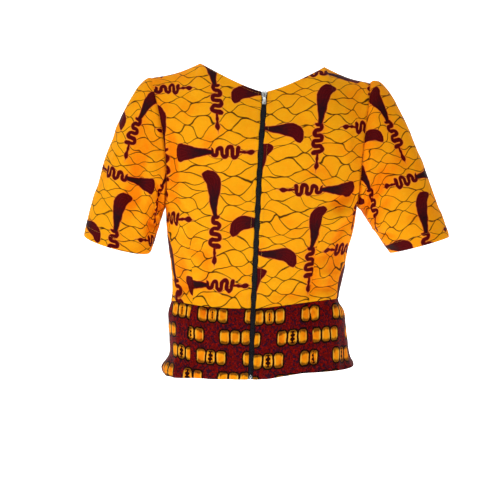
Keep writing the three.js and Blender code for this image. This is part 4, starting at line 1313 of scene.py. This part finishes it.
# the pull tab's metal is a brighter copy of the zip metal: a painted highlight, where the tab catches the
# light
pullHighlightFinish = makeMetalMaterial("pull metal painted highlight", srgb(206, 208, 204), srgb(246, 247, 244))
orangeThread = makeThreadMaterial("orange thread", srgb(214, 128, 10), srgb(246, 168, 40))
maroonThread = makeThreadMaterial("maroon thread", srgb(40, 8, 12), srgb(84, 16, 20))

# where each panel lies on the printed cloth
printPlace = {
    # name: (mirror, lean, stretch up, tilt, shift across, shift up)
    "back_left": (1, 0, 0.96, 0, -71.5, -44.2),
    "back_right": (1, 0, 1.033, 0, -97, 33),
    "front": (1, 0, 1, 0, -20, 60),
    "sleeve_left": (-1, 0.32, 1.1, 0, 0, -111),
    "sleeve_right": (1, -0.27, 1.05, 0, -4, -98),
    "basque_back_left": (1, 0, 1, 0, -71, -4.8),
    "basque_back_right": (1, 0, 0.96, 0.03, -29, -3.1),
    "basque_front": (1, 0, 1, 0, -20, -4.8),
}
# where the cloth of a panel is drawn askew, over and under a height: (height, share across, share up)
printSkew = {"back_left": {"over": (-150, -0.1, 0), "under": (-395, 0, 0.36)}}


def placePrint(part, name):
    mirror, lean, stretch, tilt, shiftX, shiftY = printPlace[name]
    u, v = part["u"], part["v"]
    skew = printSkew.get(name, {})
    over, overAcross, overUp = skew.get("over", (0, 0, 0))
    under, underAcross, underUp = skew.get("under", (0, 0, 0))
    rise, fall = np.maximum(v - over, 0), np.maximum(under - v, 0)
    part["u"] = u * mirror + v * lean + shiftX + rise * overAcross + fall * underAcross
    part["v"] = v * stretch + u * tilt + shiftY + rise * overUp + fall * underUp


print("shaping the panels")
halves = {(s["name"], f): makeTorso(s, f) for s in (left, right) for f in (backFace, frontFace)}
bands = {(s["name"], f): makeBasque(s, f) for s in (left, right) for f in (backFace, frontFace)}
panels = {
    "back_left": halves["left", backFace],
    "back_right": halves["right", backFace],
    "front": joinHalves(halves["left", frontFace], halves["right", frontFace]),
    "sleeve_left": makeSleeve(left, halves["left", backFace], halves["left", frontFace]),
    "sleeve_right": makeSleeve(right, halves["right", backFace], halves["right", frontFace]),
    "basque_back_left": bands["left", backFace],
    "basque_back_right": bands["right", backFace],
    "basque_front": joinHalves(bands["left", frontFace], bands["right", frontFace]),
}
pieces = {}
for name, part in panels.items():
    placePrint(part, name)
    isBand = name.startswith("basque")
    finishes = (bandOutside, bandInside) if isBand else (waxOutside, waxInside)
    pieces[name] = wallPiece(name + "_cloth", part, finishes, closed=name.startswith("sleeve"))
    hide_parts(name)
    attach(pieces[name], "top")
print("cloth pieces made", {n: len(p.data.polygons) for n, p in pieces.items()})


def edgeLine(part, edge, distance, lift, only=None):
    # points at a distance from an edge of a panel, raised off the cloth
    grid, normals = part["outer"], part["normals"]
    if edge in ("first", "last"):
        grid, normals = grid.transpose(1, 0, 2), normals.transpose(1, 0, 2)
    if edge in ("top", "last"):
        grid, normals = grid[::-1], normals[::-1]
    run = steps(grid, 0)
    line = []
    for j in range(grid.shape[1]):
        if only is not None and not only[j]:
            continue
        k = int(np.clip(np.searchsorted(run[:, j], distance), 1, len(grid) - 1))
        t = (distance - run[k - 1, j]) / max(run[k, j] - run[k - 1, j], 1e-6)
        spot = mix(grid[k - 1, j], grid[k, j], t)
        line.append(spot + mix(normals[k - 1, j], normals[k, j], t) * lift)
    return np.array(line)


stitch = {
    "pitch": 2.9,
    "length": 2.3,
    "shortest": 0.92,   # shares of the length
    "longest": 1.06,
    "thread": 0.34,
    "lift": 0.16,
    "seed": 4,
}


def outOf(node, name=0):
    # an output of a node, for the inputs of others
    return Wire(node.id_data, node.outputs[name])


def alongLine(name, inputs):
    # opens a group that spaces points along a line and turns each one to it
    tree, source, target = openGroup(name, "GeometryNodeTree", ("Geometry", *inputs), ("Geometry",))
    line = addNode(tree, "GeometryNodeMeshToCurve")
    spots = addNode(tree, "GeometryNodeCurveToPoints", mode="LENGTH")
    turn = addNode(tree, "FunctionNodeAlignRotationToVector", axis="Z")
    feed(tree, line, {"Mesh": outOf(source, "Geometry")})
    feed(tree, spots, {"Curve": outOf(line, "Curve"), "Length": outOf(source, "Pitch")})
    feed(tree, turn, {"Vector": outOf(spots, "Tangent")})
    return tree, source, target, spots, turn


def closeLine(tree, source, target, instances):
    # makes the instances real, in their material
    real = addNode(tree, "GeometryNodeRealizeInstances")
    coat = addNode(tree, "GeometryNodeSetMaterial")
    feed(tree, real, {"Geometry": outOf(instances, "Instances")})
    feed(tree, coat, {"Geometry": outOf(real, "Geometry"), "Material": outOf(source, "Material")})
    feed(tree, target, {"Geometry": outOf(coat, "Geometry")})
    return tree


def ballNode(tree, rings):
    ball = addNode(tree, "GeometryNodeMeshUVSphere")
    feed(tree, ball, {"Segments": 8, "Rings": rings, "Radius": 0.5})
    return ball


def makeStitchTree():
    inputs = ("Pitch", "Stitch Length", "Thread", "Seed", "Material")
    tree, source, target, spots, turn = alongLine("running stitches", inputs)
    uneven = addNode(tree, "FunctionNodeRandomValue", data_type="FLOAT")
    feed(tree, uneven, {2: stitch["shortest"], 3: stitch["longest"], "Seed": outOf(source, "Seed")})
    thread, length = outOf(source, "Thread"), outOf(source, "Stitch Length") * outOf(uneven, 1)
    place = addNode(tree, "GeometryNodeInstanceOnPoints")
    feed(tree, place, {"Points": outOf(spots, "Points"), "Instance": outOf(ballNode(tree, 6), "Mesh"),
                       "Rotation": outOf(turn, "Rotation"), "Scale": joinParts(tree, thread, thread, length)})
    return closeLine(tree, source, target, place)


def pathObject(name, lines):
    # an object of bare edges through each line of points
    verts, sides = [], []
    for line in lines:
        first = len(verts)
        verts.extend((np.asarray(line) * mm).tolist())
        sides.extend((first + i, first + i + 1) for i in range(len(line) - 1))
    data = bpy.data.meshes.new(name)
    data.from_pydata(verts, sides, [])
    return placed(name + "_path", data)


def growAlong(name, lines, tree, values, material, bodyName="top"):
    # runs a node tree on the lines and keeps the result as a plain mesh
    carrier = pathObject(name, lines)
    modifier = carrier.modifiers.new("grow", "NODES")
    modifier.node_group = tree
    for socket in tree.interface.items_tree:
        if socket.in_out == "INPUT" and socket.name in values:
            modifier[socket.identifier] = values[socket.name]
    graph = bpy.context.evaluated_depsgraph_get()
    data = bpy.data.meshes.new_from_object(carrier.evaluated_get(graph))
    carrier.modifiers.clear()
    data.name = name
    if not data.materials:
        data.materials.append(material)
    data.polygons.foreach_set("use_smooth", [True] * len(data.polygons))
    piece = placed(name, data)
    bpy.data.objects.remove(carrier)
    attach(piece, bodyName)
    return piece


stitchTree = makeStitchTree()


def sew(name, lines, slotName):
    material = threads[slotName]
    values = {"Pitch": stitch["pitch"] * mm, "Stitch Length": stitch["length"] * mm,
              "Thread": stitch["thread"] * mm, "Seed": stitch["seed"], "Material": material}
    return growAlong(name, lines, stitchTree, values, material)


backs, bandBacks = ("back_left", "back_right"), ("basque_back_left", "basque_back_right")
neckEnd = body["neckShare"] + 1e-6
onNeck = {name: panels[name]["shares"] <= neckEnd for name in backs}
halfNeck = {s: halves[s, frontFace]["shares"] <= neckEnd for s in ("left", "right")}
onNeck["front"] = np.concatenate([halfNeck["left"][:0:-1], halfNeck["right"]])


def seamLines(names, edge, place, only={}):
    return [edgeLine(panels[n], edge, cloth[place], stitch["lift"], only.get(n)) for n in names]


def cuffRing(name):
    ring = seamLines((name,), "top", "cuffStitch")[0]
    return [np.concatenate([ring, ring[:1]])]


threads = {"wax_print": orangeThread, "basque_print": maroonThread}
seams = {
    "neck_stitches_back": (seamLines(backs, "top", "neckStitch", onNeck), "wax_print"),
    "neck_stitches_front": (seamLines(("front",), "top", "neckStitch", onNeck), "wax_print"),
    "cuff_stitches_left": (cuffRing("sleeve_left"), "wax_print"),
    "cuff_stitches_right": (cuffRing("sleeve_right"), "wax_print"),
    "zip_stitches_left": (seamLines(("back_left",), "first", "zipStitch"), "wax_print"),
    "zip_stitches_right": (seamLines(("back_right",), "first", "zipStitch"), "wax_print"),
    "band_zip_stitches": (seamLines(bandBacks, "first", "zipStitch"), "basque_print"),
    "hem_stitches_back": (seamLines(bandBacks, "bottom", "hemStitch"), "basque_print"),
    "hem_stitches_front": (seamLines(("basque_front",), "bottom", "hemStitch"), "basque_print"),
}
sewn = {name: sew(name, *values) for name, values in seams.items()}
print("stitches", {n: len(p.data.polygons) for n, p in sewn.items()})

zipSizes = {
    "toothPitch": 1.45,
    "toothReach": 2.5,
    "toothThick": 0.95,
    "toothRise": 1.5,
    "toothSink": 1.0,
    "tapeInner": 0.35,
    "tapeOuter": 14.5,
    "tapeSink": 1.35,
    "tapeThickness": 0.5,
    # from the hem and the neck to the tapes' ends, and on to the first and last teeth
    "footRoom": 1.0,
    "headRoom": 0.8,
    "bottomRoom": 7.5,
    "topRoom": 5.5,
    "rows": 260,
    "tapeColumns": 9,
    "nextColumn": 3,    # the panel's column that shows which way the cloth runs from the zip
}


def zipEdge(side, column):
    # a column of the back panel and its band from the hem to the neck, before they roll in
    torso, band = halves[side, backFace]["base"], bands[side, backFace]["base"]
    return np.concatenate([band[:-1, column], torso[:, column]])


leftEdge, rightEdge = zipEdge("left", 0), zipEdge("right", 0)
heights = np.linspace(leftEdge[0, 2] + zipSizes["footRoom"], leftEdge[-1, 2] - zipSizes["headRoom"],
                      zipSizes["rows"])


def atHeight(pointsIn, z):
    return points(*(np.interp(z, pointsIn[:, 2], pointsIn[:, k]) for k in range(3)))


edgeLeft, edgeRight = atHeight(leftEdge, heights), atHeight(rightEdge, heights)
zipLine = (edgeLeft + edgeRight) / 2
zipUp = unit(np.gradient(zipLine, axis=0))
zipOut = unit(np.cross(zipUp, unit(edgeLeft - edgeRight)))
zipOut = zipOut * np.sign(-zipOut[:, 1:2])
zipSide = unit(np.cross(zipOut, zipUp))
zipSide = zipSide * np.sign(zipSide[:, 0:1])


def makeTape(name, sign):
    nextTo = atHeight(zipEdge("left" if sign < 0 else "right", zipSizes["nextColumn"]), heights)
    edge = edgeLeft if sign < 0 else edgeRight
    across = unit(nextTo - edge)
    sink = zipOut * zipSizes["tapeSink"]
    places = np.linspace(0, 1, zipSizes["tapeColumns"])
    opening = body["zipOpening"]
    columns = []
    for t in places:
        d = mix(zipSizes["tapeInner"], zipSizes["tapeOuter"], t)
        spot = zipLine + zipSide * sign * d if d < opening else edge + across * (d - opening)
        columns.append(spot - sink)
    outer = np.stack(columns, axis=1)
    u = np.tile(mix(zipSizes["tapeInner"], zipSizes["tapeOuter"], places), (len(heights), 1))
    v = np.tile(heights[:, None], (1, len(places)))
    part = {"outer": outer, "sign": sign, "u": u, "v": v, "normals": gridNormals(outer, sign)}
    piece = wallPiece(name, part, (tapeFinish, tapeFinish), thickness=zipSizes["tapeThickness"])
    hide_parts(name.replace("_cloth", ""))
    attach(piece, "top")
    return piece


def makeToothTree():
    # two rows of teeth that close on each other along a line
    inputs = ("Pitch", "Reach", "Thickness", "Height", "Seed", "Material")
    tree, source, target, spots, turn = alongLine("zip teeth", inputs)
    reach, thick, high = (outOf(source, n) for n in ("Reach", "Thickness", "Height"))
    foot = addNode(tree, "GeometryNodeMeshCube")
    feed(tree, foot, {"Size": joinParts(tree, reach * 1.15, high, thick)})
    head = addNode(tree, "GeometryNodeTransform")
    feed(tree, head, {"Geometry": outOf(ballNode(tree, 5), "Mesh"),
                      "Scale": joinParts(tree, reach * 0.75, high * 0.9, thick * 1.25),
                      "Translation": joinParts(tree, reach * -0.62, 0.0, 0.0)})
    tooth = addNode(tree, "GeometryNodeJoinGeometry")
    feed(tree, tooth, {0: outOf(foot, "Mesh")})
    feed(tree, tooth, {0: outOf(head, "Geometry")})
    # every second tooth faces the other way
    odd = wrapped(outOf(addNode(tree, "GeometryNodeInputIndex")), 2.0)
    spinBy = addNode(tree, "FunctionNodeAxisAngleToRotation")
    feed(tree, spinBy, {"Axis": (0, 0, 1), "Angle": (1.0 - odd) * math.pi})
    spin = addNode(tree, "FunctionNodeRotateRotation", rotation_space="LOCAL")
    feed(tree, spin, {"Rotation": outOf(turn, "Rotation"), "Rotate By": outOf(spinBy, "Rotation")})
    place = addNode(tree, "GeometryNodeInstanceOnPoints")
    feed(tree, place, {"Points": outOf(spots, "Points"), "Instance": outOf(tooth, "Geometry"),
                       "Rotation": outOf(spin, "Rotation")})
    shift = addNode(tree, "GeometryNodeTranslateInstances")
    feed(tree, shift, {"Instances": outOf(place, "Instances"), "Local Space": True,
                       "Translation": joinParts(tree, reach * 0.72, 0.0, 0.0)})
    return closeLine(tree, source, target, shift)


run = np.concatenate([[0], np.cumsum(lengthOf(np.diff(zipLine, axis=0)))])
keep = (run > zipSizes["bottomRoom"]) & (run < run[-1] - zipSizes["topRoom"])
chainLine = (zipLine - zipOut * zipSizes["toothSink"])[keep]
toothValues = {"Pitch": zipSizes["toothPitch"] * mm / 2, "Reach": zipSizes["toothReach"] * mm,
               "Thickness": zipSizes["toothThick"] * mm, "Height": zipSizes["toothRise"] * mm,
               "Seed": 1, "Material": toothFinish}
teeth = growAlong("zip_teeth", [chainLine], makeToothTree(), toothValues, toothFinish)
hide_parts("zip_chain")
teeth.data.polygons.foreach_set("use_smooth", [False] * len(teeth.data.polygons))
tapes = {"left": makeTape("zip_tape_left_cloth", -1), "right": makeTape("zip_tape_right_cloth", 1)}
print("zip", len(teeth.data.polygons), "faces of teeth")


def refined(node, name, width, material, bodyName):
    # a copy of a metal CAD node with rounded edges of this width
    source = bpy.data.objects[node]
    grid = bmesh.new()
    grid.from_mesh(source.data)
    grid.transform(source.matrix_world)
    bmesh.ops.remove_doubles(grid, verts=grid.verts, dist=0.00001)
    bmesh.ops.dissolve_limit(grid, angle_limit=math.radians(4), verts=grid.verts, edges=grid.edges)
    sharp = [e for e in grid.edges if len(e.link_faces) == 2 and e.calc_face_angle(0) > math.radians(28)]
    bmesh.ops.bevel(grid, geom=sharp, offset=width * mm, segments=2, profile=0.6,
                    affect="EDGES", clamp_overlap=True)
    bmesh.ops.recalc_face_normals(grid, faces=grid.faces)
    data = bpy.data.meshes.new(name)
    grid.to_mesh(data)
    grid.free()
    data.materials.append(material)
    data.polygons.foreach_set("use_smooth", [True] * len(data.polygons))
    data.set_sharp_from_angle(angle=math.radians(35))
    piece = placed(name, data)
    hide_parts(node)
    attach(piece, bodyName)


refined("zip_slider", "slider_body", 0.28, metalFinish, "top")
refined("zip_pull", "pull_tab", 0.22, pullHighlightFinish, "pull")
refined("zip_bottom_stop", "bottom_stop", 0.35, metalFinish, "top")
print("metal parts made")

studio = {
    "floorZ": -0.83,
    "floorFront": -3.2,
    "bendStart": 1.1,
    "bendRadius": 1.6,
    "bendSteps": 16,
    "wallTop": 3.6,
    "halfWidth": 4.5,
    "pitch": 4.5,
    "distance": 2.2,
    "target": (-0.0215, 0.0, -0.328),
    "lens": 88.49,
    "aim": (0, 0, -0.3),
    "world": 0.2,
    "paperGlow": 0.92,
}


def makeBackdrop():
    profile = [(studio["floorFront"], studio["floorZ"]), (studio["bendStart"], studio["floorZ"])]
    for k in range(1, studio["bendSteps"] + 1):
        a = math.pi / 2 * k / studio["bendSteps"]
        profile.append((studio["bendStart"] + studio["bendRadius"] * math.sin(a),
                        studio["floorZ"] + studio["bendRadius"] * (1 - math.cos(a))))
    profile.append((profile[-1][0], studio["wallTop"]))
    w = studio["halfWidth"]
    verts = [(x, y, z) for y, z in profile for x in (-w, w)]
    faces = [(2 * i, 2 * i + 1, 2 * i + 3, 2 * i + 2) for i in range(len(profile) - 1)]
    data = bpy.data.meshes.new("backdrop")
    data.from_pydata(verts, [], faces)
    data.polygons.foreach_set("use_smooth", [True] * len(faces))
    backdrop = placed("backdrop", data)
    material, tree, shader = newMaterial("studio paper")
    grain = noiseAt(tree, objectPoint(tree), 60.0, 3.0)
    color = tint(tree, ramp(grain, 0.3, 0.7), (0.93, 0.93, 0.93), (0.96, 0.96, 0.96))
    feed(tree, shader, {"Base Color": color, "Roughness": 0.9, "Emission Color": color,
                        "Emission Strength": studio["paperGlow"]})
    data.materials.append(material)


def addLamp(name, place, size, power):
    data = bpy.data.lights.new(name, "AREA")
    data.shape, data.size, data.energy = "DISK", size, power
    lamp = placed(name, data)
    lamp.location = place
    direction = Vector(studio["aim"]) - Vector(place)
    lamp.rotation_euler = direction.to_track_quat("-Z", "Y").to_euler()


makeBackdrop()
lamps = {
    # place, width of the lamp, power
    "key light": ((-1.9, -1.9, 1.7), 0.8, 35),
    "fill light": ((1.9, -2.2, 0.6), 1.4, 2.5),
    "top light": ((0.1, -0.5, 2.2), 1.6, 15),
    "rear light": ((1.2, 2.3, 1.2), 1.2, 4),
}
for name, values in lamps.items():
    addLamp(name, *values)

world = bpy.data.worlds.new("studio world")
world.use_nodes = True
world.node_tree.nodes["Background"].inputs["Color"].default_value = (1, 1, 1, 1)
world.node_tree.nodes["Background"].inputs["Strength"].default_value = studio["world"]
scene.world = world
scene.view_settings.view_transform = "Standard"

pitch = math.radians(studio["pitch"])
forward = Vector((0, math.cos(pitch), -math.sin(pitch)))
camera = placed("camera", bpy.data.cameras.new("camera"))
camera.data.lens = studio["lens"]
camera.data.sensor_width = 36
camera.location = Vector(studio["target"]) - forward * studio["distance"]
camera.rotation_euler = forward.to_track_quat("-Z", "Y").to_euler()
bpy.context.scene.camera = camera
print("studio ready")
